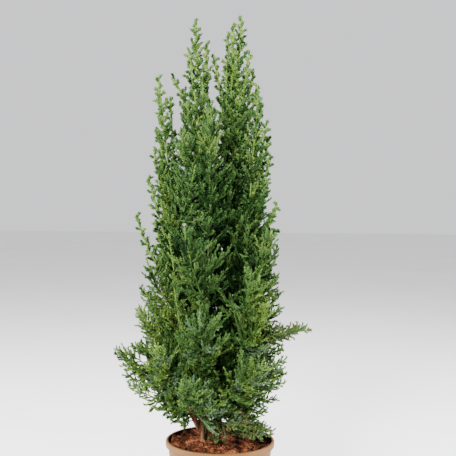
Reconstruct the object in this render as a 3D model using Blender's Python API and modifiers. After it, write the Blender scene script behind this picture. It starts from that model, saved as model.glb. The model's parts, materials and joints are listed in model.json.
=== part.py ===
"""Young Lawson cypress in a round nursery pot: upright stems from one foot, clothed in feathery plumes.

Metres, +Z up. The origin is under the middle of the pot, on the surface that it stands on.
X runs to the right of the plant's face and Y to its back. The plant is grown by rule: stems and
boughs leave the trunk, plumes leave the stems, and each plume carries toothed sprays in a spiral.
A plume keeps to its own cell, the space that is nearer to its stem than to any other plume's.
"""

import math
import random

import bmesh
import bpy
import numpy as np
from mathutils import Matrix, Vector, noise

# Pot, turned about Z
POT_HEIGHT = 0.126
RIM_RADIUS = 0.064
RIM_DEPTH = 0.0070
RIM_LIP = 0.0022
FOOT_RADIUS = 0.047
WALL = 0.0014
FLOOR_THICKNESS = 0.0022
DRAIN_COUNT = 6
DRAIN_RADIUS = 0.0042
DRAIN_CIRCLE = 0.034
TURN_STEPS = 32

# Peat, which fills the pot and swells up to the trunk
SOIL_EDGE_HEIGHT = 0.1150
SOIL_FOOT_HEIGHT = 0.1220
SOIL_ROUGHNESS = 0.0022
SOIL_DROP = 0.9
SOIL_FALL_POWER = 0.9
FOOT_SHIFT = 1.35
SOIL_RINGS = (0.94, 0.84, 0.70, 0.55, 0.40, 0.26)
LUMPS_PER_METRE = 95
LUMP_LEVEL = 0.55
FOOT_FLAT = 0.012
CLEARANCE = 0.0003

# Trunk: the places that it passes, from the flat cut on the peat to the start of its leading plume
TRUNK_PATH = (
    (-0.0180, 0.004, SOIL_FOOT_HEIGHT + CLEARANCE),
    (-0.0183, 0.004, 0.131),
    (-0.0225, 0.004, 0.155),
    (-0.0190, 0.003, 0.250),
    (-0.0160, 0.002, 0.360),
    (-0.0180, 0.003, 0.440),
    (-0.0230, 0.004, 0.485),
)
TRUNK_TIP = (-0.036, 0.006, 0.619)
FLARE_RADIUS = 0.0078
TRUNK_RADIUS = 0.0048
FLARE_HEIGHT = 0.007
FOOT_STEP = 0.0025
LIMB_END_RADIUS = 0.0012
TAPER_POWER = 0.8
TRUNK_POINTS = 15

# Stems: name, what they fork from, height of the fork, tip of their leading plume, early share of their
# spread, and length and half-width of the leading plume
STEMS = (
    ("left", "trunk", 0.1305, (-0.0765, -0.010, 0.552), 0.30, 0.165, 0.020),
    ("right", "trunk", 0.146, (0.021, 0.002, 0.621), 0.46, 0.170, 0.024),
    ("back_left", "trunk", 0.158, (-0.0466, 0.044, 0.544), 0.55, 0.180, 0.026),
    ("front", "trunk", 0.182, (-0.013, -0.036, 0.520), 0.62, 0.190, 0.029),
    ("far_right", "right", 0.205, (0.041, -0.010, 0.534), 0.55, 0.165, 0.024),
    ("back_right", "right", 0.185, (0.014, 0.050, 0.578), 0.60, 0.200, 0.028),
)
STEM_RADIUS = 0.0034
STEM_SHARE_OF_PARENT = 0.85
STEM_POINTS = 10
STEM_SPACING_POWER = 1.6
SPREAD_HEIGHT = 0.016
SPREAD_POWER = 1.25
TRUNK_PLUME_WIDTH = 0.021

# Boughs: name, limb, height where they leave it, their end, and tip and half-width of the plume beyond it
BOUGHS = (
    ("low_left", "left", 0.172, (-0.071, -0.008, 0.200), (-0.123, -0.012, 0.233), 0.024),
    ("low_right", "right", 0.170, (0.032, -0.006, 0.184), (0.072, -0.010, 0.213), 0.022),
    ("side_right", "far_right", 0.228, (0.046, -0.017, 0.244), (0.102, -0.024, 0.259), 0.013),
    ("low_back", "back_left", 0.186, (-0.024, 0.048, 0.198), (-0.018, 0.092, 0.222), 0.026),
    ("low_front", "trunk", 0.170, (-0.026, -0.038, 0.182), (-0.034, -0.080, 0.204), 0.026),
)
BOUGH_RADIUS = 0.0022
BOUGH_SHARE_OF_PARENT = 0.8
BOUGH_POINTS = 7
BOUGH_BEND = (0.60, 0.35)
PLUME_BEND = (0.60, 0.30)
UPPER_BEND = (0.30, 0.50)

# Plumes out of the ring order: name, limb, height where they leave it, tip, half-width
STRAYS = (
    ("foot_left", "left", 0.166, (-0.107, -0.022, 0.196), 0.018),
    ("foot_right", "trunk", 0.137, (0.050, -0.014, 0.140), 0.012),
    ("under_right", "right", 0.160, (0.046, 0.008, 0.163), 0.020),
    ("edge_left", "left", 0.232, (-0.098, -0.004, 0.282), 0.024),
    ("thin_left", "left", 0.300, (-0.100, -0.004, 0.391), 0.010),
    ("upper_left", "trunk", 0.458, (-0.059, 0.004, 0.552), 0.012),
    ("upper_middle", "right", 0.444, (-0.0115, 0.010, 0.578), 0.012),
    ("upper_right", "right", 0.446, (0.031, -0.012, 0.578), 0.013),
)

# Crown: centre line, and how far it reaches from that on the left and on the right, by height
CROWN_CENTRE = (-0.008, 0.003)
CROWN_REACH = (
    (0.150, 0.050, 0.052),
    (0.176, 0.075, 0.064),
    (0.200, 0.094, 0.080),
    (0.225, 0.098, 0.079),
    (0.265, 0.093, 0.079),
    (0.310, 0.086, 0.077),
    (0.360, 0.078, 0.075),
    (0.406, 0.068, 0.067),
    (0.440, 0.066, 0.058),
    (0.470, 0.064, 0.054),
    (0.520, 0.058, 0.045),
)
RINGS = ((0.178, 4), (0.228, 4), (0.278, 4), (0.332, 4), (0.386, 4), (0.440, 4), (0.490, 2))
RING_TURN = 0.62
LOWEST_BASE = 0.152
LOW_RISE = 0.022
HIGH_RISE = 0.088
RISE_POWER = 0.6
RISE_DRAW = (0.80, 1.25)
TURN_DRAW = 0.30
TIP_DRAW = 0.014
ABOVE_FORK = 0.020
BELOW_END = 0.004
PLUME_WIDTH = 0.040
TRIES = 24

# A plume's stem, the core of its foliage, and its sprays
TWIG_RADIUS = 0.0011
TWIG_END_RADIUS = 0.00045
AXIS_STEPS = 6
STAND_OFF = 0.0022
WIDEST_AT_POWER = 0.60
ROUNDNESS_POWER = 0.70
CORE_SHARE = 0.36
CORE_SHARE_OF_ROOM = 0.90
CORE_START = 0.096
CORE_END = 1.05
CORE_SIDES = 5
PLUME_BARE = 0.12
LAST_SPRAY = 0.95
SPRAYS = 7
LEADER_SPRAYS = 8
GOLDEN_ANGLE = math.radians(137.508)
LOW_LEAN = math.radians(60)
HIGH_LEAN = math.radians(32)
LEAN_DRAW = 0.12
SPIRAL_DRAW = 0.30
SPRAY_TILT = 0.6
SPRAY_REACH = 1.15
LENGTH_DRAW = (0.90, 1.15)
SIDE_HINT = Vector((0.31, 0.17, 1.0))
SPRAY_WIDTH = 0.27
SPRAY_THICKNESS = 0.0011
SPRAY_ROOT = 0.0016
SHORTEST_SPRAY = 0.008
SHORTER = (1.0, 0.86, 0.74, 0.63, 0.54, 0.46, 0.39, 0.33, 0.28)
TURNS = (0.0, 0.8, -0.8, 1.6, -1.6)
CROWN_SLACK = 0.005
CELL_MARGIN = 0.0011
LIMB_MARGIN = 0.0012
OWN_LIMB_MARGIN = 0.0018
OTHER_LIMB_MARGIN = 0.0026
AXIS_MARGIN = 0.0042

BARK = (0.150, 0.075, 0.040)
LEAF_GREEN = (0.085, 0.190, 0.045)
LEAF_DEEP = (0.045, 0.120, 0.040)
TAUPE = (0.500, 0.385, 0.270)
PEAT = (0.120, 0.048, 0.022)


def clear_scene():
    for obj in list(bpy.data.objects):
        bpy.data.objects.remove(obj, do_unlink=True)


def new_collection(name, shown=True):
    collection = bpy.data.collections.new(name)
    bpy.context.scene.collection.children.link(collection)
    collection.hide_render = not shown
    return collection


def make_material(name, colour, roughness):
    material = bpy.data.materials.new(name)
    material.use_nodes = True
    shader = material.node_tree.nodes["Principled BSDF"]
    shader.inputs["Base Color"].default_value = (*colour, 1.0)
    shader.inputs["Roughness"].default_value = roughness
    shader.inputs["Metallic"].default_value = 0.0
    return material


def link_mesh(name, mesh, collection, material=None):
    obj = bpy.data.objects.new(name, mesh)
    collection.objects.link(obj)
    if material:
        mesh.materials.append(material)
    return obj


def evaluated_mesh(obj):
    """The object's shape as the viewport has it, as a mesh with welded caps. The object is removed."""
    bpy.context.view_layer.update()
    graph = bpy.context.evaluated_depsgraph_get()
    mesh = bpy.data.meshes.new_from_object(obj.evaluated_get(graph))
    mesh.transform(obj.matrix_world)
    bpy.data.objects.remove(obj, do_unlink=True)
    bm = bmesh.new()
    bm.from_mesh(mesh)
    bmesh.ops.remove_doubles(bm, verts=bm.verts, dist=1e-6)
    bmesh.ops.recalc_face_normals(bm, faces=bm.faces)
    bm.to_mesh(mesh)
    bm.free()
    mesh.materials.clear()
    return mesh


def section(sides, collection):
    """A regular polygon of unit radius, as the bevel of limbs and twigs."""
    curve = bpy.data.curves.new(f"section_{sides}", "CURVE")
    spline = curve.splines.new("POLY")
    spline.points.add(sides - 1)
    spline.use_cyclic_u = True
    for k, point in enumerate(spline.points):
        turn = math.tau * k / sides
        point.co = (math.cos(turn), math.sin(turn), 0.0, 1.0)
    obj = bpy.data.objects.new(curve.name, curve)
    obj.hide_render = True
    collection.objects.link(obj)
    return obj


def tube(points, radii, bevel, collection):
    """A limb or twig: a poly curve with a radius at each point and flat filled ends, as a mesh."""
    curve = bpy.data.curves.new("tube", "CURVE")
    curve.dimensions = "3D"
    curve.bevel_mode = "OBJECT"
    curve.bevel_object = bevel
    curve.use_fill_caps = True
    spline = curve.splines.new("POLY")
    spline.points.add(len(points) - 1)
    for point, place, radius in zip(spline.points, points, radii):
        point.co = (*place, 1.0)
        point.radius = radius
    obj = bpy.data.objects.new("tube", curve)
    collection.objects.link(obj)
    return evaluated_mesh(obj)


def main_body(mesh):
    """Leaves only the largest of the mesh's bodies, which drops loose scraps and fills sealed hollows."""
    bm = bmesh.new()
    bm.from_mesh(mesh)
    left, bodies = set(bm.faces), []
    while left:
        found = [left.pop()]
        for face in found:
            near = {other for edge in face.edges for other in edge.link_faces} & left
            left -= near
            found.extend(near)
        bodies.append(found)
    bodies.sort(key=len)
    for scrap in bodies[:-1]:
        bmesh.ops.delete(bm, geom=scrap, context="FACES")
    bm.to_mesh(mesh)
    bm.free()
    return mesh


def combine(base, meshes, operation, collection):
    """One Boolean of the base mesh with all the others, applied; the others are removed."""
    obj = link_mesh("base", base, collection)
    helpers = new_collection("others", shown=False)
    others = [link_mesh("other", mesh, helpers) for mesh in meshes]
    modifier = obj.modifiers.new("boolean", "BOOLEAN")
    modifier.operation = operation
    modifier.operand_type = "COLLECTION"
    modifier.collection = helpers
    made = evaluated_mesh(obj)
    for other in others:
        bpy.data.objects.remove(other, do_unlink=True)
    bpy.data.collections.remove(helpers)
    return main_body(made)


# The plant's lines, worked out before any mesh


def smooth_path(places, count):
    """Points at even shares of a Catmull-Rom curve through the given places."""
    places = [Vector(place) for place in places]
    ends = [places[0] * 2 - places[1], *places, places[-1] * 2 - places[-2]]
    found = []
    for i in range(count):
        along = i / (count - 1) * (len(places) - 1)
        k = min(int(along), len(places) - 2)
        u = along - k
        a, b, c, d = ends[k : k + 4]
        bend = (2 * a - 5 * b + 4 * c - d) * u**2 + (3 * b - a - 3 * c + d) * u**3
        found.append(0.5 * (2 * b + (c - a) * u + bend))
    return found


def quadratic(start, bend, end, steps):
    """Points of the curve that leaves start towards bend and comes to end from there."""
    shares = [i / steps for i in range(steps + 1)]
    return [start * (1 - u) ** 2 + bend * 2 * u * (1 - u) + end * u**2 for u in shares]


def bent(start, end, shares):
    """The point at one share of the way out and another of the way up."""
    out, up = shares
    return Vector((*start.xy.lerp(end.xy, out), start.z + (end.z - start.z) * up))


def at_height(limb, height):
    """Centre, direction and radius of a limb at a height."""
    points, radii = limb["points"], limb["radii"]
    k = max([i for i in range(len(points) - 1) if points[i].z <= height], default=0)
    u = min(max((height - points[k].z) / (points[k + 1].z - points[k].z), 0.0), 1.0)
    radius = radii[k] + (radii[k + 1] - radii[k]) * u
    return points[k].lerp(points[k + 1], u), (points[k + 1] - points[k]).normalized(), radius


def trunk_limb():
    points = smooth_path(TRUNK_PATH, TRUNK_POINTS)
    foot, top = points[0].z, points[-1].z
    points.insert(1, Vector((*points[0].xy, foot + FOOT_STEP)))
    radii = []
    for point in points:
        rise = point.z - foot
        flare = (FLARE_RADIUS - TRUNK_RADIUS) * math.exp(-rise / FLARE_HEIGHT)
        taper = (TRUNK_RADIUS - LIMB_END_RADIUS) * (rise / (top - foot)) ** TAPER_POWER
        radii.append(TRUNK_RADIUS + flare - taper)
    return {"points": points, "radii": radii}


def stem_limb(parent, fork_height, tip, early, plume_length):
    """A stem covers its early share of the way out just above the fork, and the rest towards its tip."""
    start, _, parent_radius = at_height(parent, fork_height)
    tip = Vector(tip)
    top = tip.z - plume_length
    first_radius = min(STEM_RADIUS, parent_radius * STEM_SHARE_OF_PARENT)
    points, radii = [], []
    for i in range(STEM_POINTS):
        share = (i / (STEM_POINTS - 1)) ** STEM_SPACING_POWER
        rise = (top - start.z) * share
        later = (rise / (tip.z - start.z)) ** SPREAD_POWER
        spread = early * (1 - math.exp(-rise / SPREAD_HEIGHT)) + (1 - early) * later
        points.append(Vector((*start.xy.lerp(tip.xy, spread), start.z + rise)))
        radii.append(first_radius + (LIMB_END_RADIUS - first_radius) * share**TAPER_POWER)
    return {"points": points, "radii": radii, "parent": parent}


def bough_limb(parent, height, end):
    start, _, parent_radius = at_height(parent, height)
    end = Vector(end)
    bend = bent(start, end, BOUGH_BEND)
    first_radius = min(BOUGH_RADIUS, parent_radius * BOUGH_SHARE_OF_PARENT)
    steps = BOUGH_POINTS - 1
    radii = [first_radius + (LIMB_END_RADIUS - first_radius) * i / steps for i in range(steps + 1)]
    return {"points": quadratic(start, bend, end, steps), "radii": radii, "parent": parent}


def limbs_of_plant():
    limbs = {"trunk": trunk_limb()}
    for name, parent, height, tip, early, plume_length, _ in STEMS:
        limbs[name] = stem_limb(limbs[parent], height, tip, early, plume_length)
    for name, parent, height, end, _, _ in BOUGHS:
        limbs[f"bough_{name}"] = bough_limb(limbs[parent], height, end)
    return limbs


def side_axis(limb, height, tip, bend=PLUME_BEND):
    """A plume's line: square off its limb at the start, out under its own weight, then up to the tip."""
    centre, along, radius = at_height(limb, height)
    tip = Vector(tip)
    out = tip - centre
    out -= along * out.dot(along)
    out.normalize()
    foot = centre + out * (radius + CLEARANCE)
    start = foot + out * STAND_OFF
    return [foot, *quadratic(start, bent(start, tip, bend), tip, AXIS_STEPS)]


def end_axis(limb, tip):
    """The line of the plume that goes on from a limb's end."""
    end = limb["points"][-1]
    along = (end - limb["points"][-2]).normalized()
    start = end + along * CLEARANCE
    bend = start + along * (Vector(tip) - start).length * 0.5
    return [start, *quadratic(start + along * STAND_OFF, bend, Vector(tip), AXIS_STEPS)]


def crown_edge(height, azimuth):
    """The point on the crown's outline at a height and azimuth, counted from the right towards the back."""
    heights = [row[0] for row in CROWN_REACH]
    left = np.interp(height, heights, [row[1] for row in CROWN_REACH])
    right = np.interp(height, heights, [row[2] for row in CROWN_REACH])
    across = (right if math.cos(azimuth) > 0 else left) * math.cos(azimuth)
    deep = (left + right) / 2 * math.sin(azimuth)
    return Vector((CROWN_CENTRE[0] + across, CROWN_CENTRE[1] + deep, height))


def gaps(points, axis, radii=None):
    """Distance of each point from the nearest stretch of a line, less the line's own radius there."""
    points = np.array(points)[:, None]
    a, b = np.array(axis[:-1]), np.array(axis[1:])
    along = b - a
    u = np.clip(((points - a) * along).sum(2) / (along**2).sum(1), 0.0, 1.0)
    gap = np.linalg.norm(points - (a + along * u[..., None]), axis=2)
    if radii is not None:
        gap -= np.array(radii[:-1]) + np.diff(radii) * u
    return gap.min(axis=1)


def close_points(axis):
    """The points of a line with three more between each two."""
    return [a.lerp(b, u) for a, b in zip(axis, axis[1:]) for u in (0.0, 0.25, 0.5, 0.75)] + [axis[-1]]


def is_clear(axis, limb, limbs, plumes):
    """Whether a plume's line keeps off the limbs, its own one past the start, and the other plumes."""
    for other in limbs.values():
        points = close_points(axis[1:] if other is limb else axis)
        least = OWN_LIMB_MARGIN if other is limb else OTHER_LIMB_MARGIN
        if gaps(points, other["points"], other["radii"]).min() < least:
            return False
    return all(gaps(close_points(axis), plume["axis"]).min() > AXIS_MARGIN for plume in plumes)


def reaches(limb, height):
    """Whether a plume may leave the limb at a height: well above its fork, and below its end."""
    return limb["points"][0].z + ABOVE_FORK < height < limb["points"][-1].z - BELOW_END


def ring_plumes(limbs, plumes):
    """Rings of plumes whose tips make the crown's outline, each from the limb that stands best for it."""
    stems = [limb for name, limb in limbs.items() if not name.startswith("bough")]
    for ring, (height, count) in enumerate(RINGS):
        rise = LOW_RISE + (HIGH_RISE - LOW_RISE) * (ring / (len(RINGS) - 1)) ** RISE_POWER
        for k in range(count):
            draw = random.Random(100 * ring + k)
            for _ in range(TRIES):
                azimuth = math.tau * k / count + RING_TURN * ring + draw.uniform(-TURN_DRAW, TURN_DRAW)
                tip = crown_edge(height + draw.uniform(-TIP_DRAW, TIP_DRAW), azimuth)
                base = max(tip.z - rise * draw.uniform(*RISE_DRAW), LOWEST_BASE)
                able = [s for s in stems if reaches(s, base)]
                able.sort(key=lambda s: (at_height(s, base)[0].xy - tip.xy).length)
                limb = able[min(draw.choice((0, 0, 1)), len(able) - 1)]
                axis = side_axis(limb, base, tip)
                if is_clear(axis, limb, limbs, plumes):
                    name = f"plume_{ring + 1}{'abcde'[k]}"
                    plumes.append({"name": name, "axis": axis, "width": PLUME_WIDTH, "inside": True})
                    break


def plumes_of_plant(limbs):
    """Every plume as its name, line and half-width; those of the rings stay inside the crown's outline."""
    plumes = []
    leaders = [("trunk", TRUNK_TIP, TRUNK_PLUME_WIDTH), *[(row[0], row[3], row[6]) for row in STEMS]]
    for name, tip, width in leaders:
        plumes.append({"name": f"leader_{name}", "axis": end_axis(limbs[name], tip), "width": width})
    for name, _, _, _, tip, width in BOUGHS:
        axis = end_axis(limbs[f"bough_{name}"], tip)
        plumes.append({"name": f"plume_{name}", "axis": axis, "width": width})
    for name, limb, height, tip, width in STRAYS:
        bend = UPPER_BEND if name.startswith("upper") else PLUME_BEND
        axis = side_axis(limbs[limb], height, tip, bend)
        plumes.append({"name": f"plume_{name}", "axis": axis, "width": width})
    ring_plumes(limbs, plumes)
    for seed, plume in enumerate(plumes):
        plume["seed"] = seed
        plume["count"] = LEADER_SPRAYS if plume["name"].startswith("leader") else SPRAYS
    return plumes


def on_axis(axis, share):
    """Place and direction at a share of a plume's line, past its stand-off."""
    along = 1 + min(max(share, 0.0), 1.0) * (len(axis) - 2)
    k = min(int(along), len(axis) - 2)
    return axis[k].lerp(axis[k + 1], along - k), (axis[k + 1] - axis[k]).normalized()


def fullness(share):
    """Half-width of a plume along its line, as a share of the widest: soon wide, slim at the tip."""
    return math.sin(math.pi * min(max(share, 0.02), 0.98) ** WIDEST_AT_POWER) ** ROUNDNESS_POWER


def room(points, plume, plumes, limbs):
    """How far each point is inside the plume's own cell and off every limb; below zero is outside."""
    own = gaps(points, plume["axis"])
    others = [other["axis"] for other in plumes if other is not plume]
    cells = [(gaps(points, axis) - own - CELL_MARGIN) / 2 for axis in others]
    off_limbs = [gaps(points, limb["points"], limb["radii"]) - LIMB_MARGIN for limb in limbs.values()]
    return np.min([*cells, *off_limbs], axis=0)


def in_crown(point):
    reach = Vector(point) - Vector((*CROWN_CENTRE, point.z))
    edge = crown_edge(point.z, math.atan2(reach.y, reach.x)) - Vector((*CROWN_CENTRE, point.z))
    return reach.length < edge.length + CROWN_SLACK


def spray_frames(plume):
    """For each spray up the stem, the frames that it may take: root, direction, face and full length."""
    axis, count = plume["axis"], plume["count"]
    for i in range(count):
        draw = random.Random(1000 * plume["seed"] + i)
        share = PLUME_BARE + (LAST_SPRAY - PLUME_BARE) * (i + 0.5) / count
        root, along = on_axis(axis, share)
        side = along.cross(SIDE_HINT).normalized()
        spiral = GOLDEN_ANGLE * i + plume["seed"] + draw.uniform(-SPIRAL_DRAW, SPIRAL_DRAW)
        lean = LOW_LEAN + (HIGH_LEAN - LOW_LEAN) * share + draw.uniform(-LEAN_DRAW, LEAN_DRAW)
        tilt = draw.choice((-SPRAY_TILT, SPRAY_TILT))
        reach = plume["width"] * fullness(share) * draw.uniform(*LENGTH_DRAW)
        length = reach * SPRAY_REACH / math.sin(lean)
        frames = []
        for turn in (spiral + extra for extra in TURNS):
            out = side * math.cos(turn) + along.cross(side) * math.sin(turn)
            direction = (along * math.cos(lean) + out * math.sin(lean)).normalized()
            flat = direction.cross(along).normalized()
            face = flat * math.cos(tilt) + direction.cross(flat) * math.sin(tilt)
            frames.append((root, direction, face, length))
        yield frames


def spray_outline():
    """A toothed blade of unit length and half-width, with its teeth alternate and pointing forward."""
    left = [(0.0, 0.14), (0.54, 1.0), (0.50, 0.24)]
    right = [(0.72, -0.18), (0.80, -0.80), (0.0, -0.14)]
    return [*left, (1.0, 0.0), *right]


def spray_middle():
    """Points spread over the inside of the blade, to find what passes through it."""
    return [(i / 10, y) for i in range(1, 10) for y in (-0.5, 0.0, 0.5)]


def blade_mesh(collection):
    """The outline as a flat solid one unit thick."""
    curve = bpy.data.curves.new("blade", "CURVE")
    curve.dimensions = "2D"
    curve.fill_mode = "BOTH"
    curve.extrude = 0.5
    spline = curve.splines.new("POLY")
    outline = spray_outline()
    spline.points.add(len(outline) - 1)
    spline.use_cyclic_u = True
    for point, (x, y) in zip(spline.points, outline):
        point.co = (x, y, 0.0, 1.0)
    obj = bpy.data.objects.new("blade", curve)
    collection.objects.link(obj)
    return evaluated_mesh(obj)


def blade_matrix(root, direction, face, length):
    across = face.cross(direction)
    start = root - direction * SPRAY_ROOT
    columns = (direction * (length + SPRAY_ROOT), across * length * SPRAY_WIDTH, face * SPRAY_THICKNESS)
    matrix = Matrix.Identity(4)
    for k, column in enumerate((*columns, start)):
        for row in range(3):
            matrix[row][k] = column[row]
    return matrix


def core_radii(plume, plumes, limbs):
    """Radius of the stem and core along the plume's line, held inside its cell."""
    axis = plume["axis"]
    last = len(axis) - 1
    free = np.pad(room(close_points(axis), plume, plumes, limbs), 3, mode="edge")
    radii = []
    for i in range(last + 1):
        share = (i - 1) / (last - 1)
        twig = TWIG_RADIUS + (TWIG_END_RADIUS - TWIG_RADIUS) * i / last
        full = fullness((share - CORE_START) / (CORE_END - CORE_START)) if CORE_START < share < 1 else 0.0
        least_room = free[4 * i : 4 * i + 7].min()
        radii.append(max(twig, min(CORE_SHARE * plume["width"] * full, CORE_SHARE_OF_ROOM * least_room)))
    return radii


def fitted_spray(frames, plume, plumes, limbs):
    """The matrix of the longest spray that one of the frames lets into the plume's own space, or none."""
    for share in SHORTER:
        for root, direction, face, length in frames:
            if length * share < SHORTEST_SPRAY:
                continue
            matrix = blade_matrix(root, direction, face, length * share)
            if plume.get("inside") and not in_crown(matrix @ Vector((1.0, 0.0, 0.0))):
                continue
            probes = [matrix @ Vector((x, y, 0.0)) for x, y in spray_outline() + spray_middle()]
            if room(probes, plume, plumes, limbs).min() > 0:
                return matrix
    return None


def plume_mesh(plume, plumes, limbs, blade, bevel, collection):
    """Stem and core of a plume with its sprays fused on."""
    base = tube(plume["axis"], core_radii(plume, plumes, limbs), bevel, collection)
    sprays = []
    for frames in spray_frames(plume):
        matrix = fitted_spray(frames, plume, plumes, limbs)
        if matrix:
            sprays.append(blade.copy())
            sprays[-1].transform(matrix)
    return combine(base, sprays, "UNION", collection)


# The pieces


def turned(name, profile, parts, material):
    """A closed profile of (radius, height) points turned about Z."""
    mesh = bpy.data.meshes.new(name)
    bm = bmesh.new()
    corners = [bm.verts.new((radius, 0.0, height)) for radius, height in profile]
    for first, second in zip(corners, corners[1:]):
        bm.edges.new((first, second))
    bm.to_mesh(mesh)
    bm.free()
    obj = link_mesh(name, mesh, parts, material)
    screw = obj.modifiers.new("turn", "SCREW")
    screw.steps = TURN_STEPS
    screw.render_steps = TURN_STEPS
    screw.use_merge_vertices = True
    screw.merge_threshold = 1e-5
    screw.use_normal_calculate = True
    return obj


def wall_radius(height):
    """Outer radius of the pot's wall, which widens evenly up to the rim."""
    return FOOT_RADIUS + (RIM_RADIUS - RIM_LIP - FOOT_RADIUS) * height / POT_HEIGHT


def make_pot(parts, cutters, material):
    """A thin cup with a rolled rim, a flat underside and drain holes round its floor."""
    under_rim = POT_HEIGHT - RIM_DEPTH
    roll = RIM_DEPTH * 0.30
    profile = [
        (0.0, FLOOR_THICKNESS),
        (wall_radius(FLOOR_THICKNESS) - WALL, FLOOR_THICKNESS),
        (wall_radius(POT_HEIGHT) - WALL, POT_HEIGHT - roll),
        (wall_radius(POT_HEIGHT) - WALL * 0.4, POT_HEIGHT - roll * 0.2),
        (RIM_RADIUS - RIM_LIP * 0.45, POT_HEIGHT),
        (RIM_RADIUS - RIM_LIP * 0.10, POT_HEIGHT - roll * 0.3),
        (RIM_RADIUS, POT_HEIGHT - roll),
        (RIM_RADIUS - 0.0003, under_rim),
        (wall_radius(under_rim), under_rim - 0.0004),
        (FOOT_RADIUS + 0.0006, 0.0014),
        (FOOT_RADIUS - 0.0008, 0.0),
        (0.0, 0.0),
    ]
    pot = turned("pot", profile, parts, material)
    for k in range(DRAIN_COUNT):
        turn = math.tau * (k + 0.5) / DRAIN_COUNT
        bpy.ops.mesh.primitive_cylinder_add(vertices=8, radius=DRAIN_RADIUS, depth=0.012)
        hole = bpy.context.object
        hole.name = f"drain_{k + 1}"
        hole.location = (DRAIN_CIRCLE * math.cos(turn), DRAIN_CIRCLE * math.sin(turn), 0.001)
        for collection in list(hole.users_collection):
            collection.objects.unlink(hole)
        cutters.objects.link(hole)
        hole.hide_render = True
        hole.display_type = "WIRE"
    cut = pot.modifiers.new("drains", "BOOLEAN")
    cut.operation = "DIFFERENCE"
    cut.operand_type = "COLLECTION"
    cut.collection = cutters
    return pot


def make_soil(parts, material):
    """Peat that fills the pot: rings that close in on the trunk's foot, lumpy except right under it."""
    top = SOIL_EDGE_HEIGHT
    side = wall_radius(top) - WALL - CLEARANCE * 2
    low = FLOOR_THICKNESS + CLEARANCE
    profile = [(0.0, SOIL_FOOT_HEIGHT)]
    for share in reversed(SOIL_RINGS):
        profile.append((side * share, SOIL_FOOT_HEIGHT))
    profile += [(side, top), (wall_radius(low) - WALL - CLEARANCE * 2, low), (0.0, low)]
    mesh = evaluated_mesh(turned("soil", profile, parts, material))
    foot = Vector(TRUNK_PATH[0]).xy
    for vertex in mesh.vertices:
        radius = vertex.co.xy.length
        if vertex.co.z < SOIL_FOOT_HEIGHT - 1e-6:
            continue
        inward = 1 - radius / side
        vertex.co.xy += foot * min(inward * FOOT_SHIFT, 1.0)
        away = (vertex.co.xy - foot).length
        fall = min(max((away - FOOT_FLAT) / (side - FOOT_FLAT), 0.0), 1.0)
        swell = (noise.noise(vertex.co * LUMPS_PER_METRE) - LUMP_LEVEL) * SOIL_ROUGHNESS
        lump = min(swell, 0.0) if fall > 0 else 0.0
        vertex.co.z = SOIL_FOOT_HEIGHT - (SOIL_FOOT_HEIGHT - top) * SOIL_DROP * fall**SOIL_FALL_POWER + lump
    obj = link_mesh("soil", mesh, parts, material)
    mesh.shade_smooth()
    return obj


def make_limbs(limbs, parts, workshop, bevel, material):
    """Trunk, stems and boughs. Each one that forks off is cut clear of its parent, and fits against it."""
    for name, limb in limbs.items():
        mesh = tube(limb["points"], limb["radii"], bevel, workshop)
        if "parent" in limb:
            parent = limb["parent"]
            grown = [radius + CLEARANCE for radius in parent["radii"]]
            mesh = combine(mesh, [tube(parent["points"], grown, bevel, workshop)], "DIFFERENCE", workshop)
        if name in {row[0] for row in STEMS}:
            name = f"stem_{name}"
        link_mesh(name, mesh, parts, material)
        mesh.shade_smooth()


def main():
    clear_scene()
    parts = new_collection("lawson_cypress")
    workshop = new_collection("workshop")
    cutters = new_collection("cutters", shown=False)
    bark = make_material("bark", BARK, 0.85)
    leaf = make_material("leaf", LEAF_GREEN, 0.6)
    deep_leaf = make_material("deep_leaf", LEAF_DEEP, 0.6)
    make_pot(parts, cutters, make_material("pot_plastic", TAUPE, 0.5))
    make_soil(parts, make_material("peat", PEAT, 0.95))
    limb_bevel = section(6, workshop)
    core_bevel = section(CORE_SIDES, workshop)
    limbs = limbs_of_plant()
    make_limbs(limbs, parts, workshop, limb_bevel, bark)
    plumes = plumes_of_plant(limbs)
    blade = blade_mesh(workshop)
    for plume in plumes:
        mesh = plume_mesh(plume, plumes, limbs, blade, core_bevel, workshop)
        link_mesh(plume["name"], mesh, parts, leaf if plume["seed"] % 2 else deep_leaf)
    for obj in list(workshop.objects):
        bpy.data.objects.remove(obj, do_unlink=True)


main()
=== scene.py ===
"""Looks of the young Lawson cypress in its nursery pot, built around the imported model.

The plant is grown by the rule of the part's source: stems and boughs leave the trunk, plumes leave
the stems. Here each plume carries side shoots in a spiral, each side shoot has branchlets on both
sides, and each branchlet is covered with pairs of small pointed leaves. Colours are dealt out by shoot.
Metres, +Z up. X runs to the right of the plant's face and Y to its back.
"""

import json
import math
import random

import bmesh
import bpy
import numpy as np
from mathutils import Matrix, Vector, noise

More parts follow.
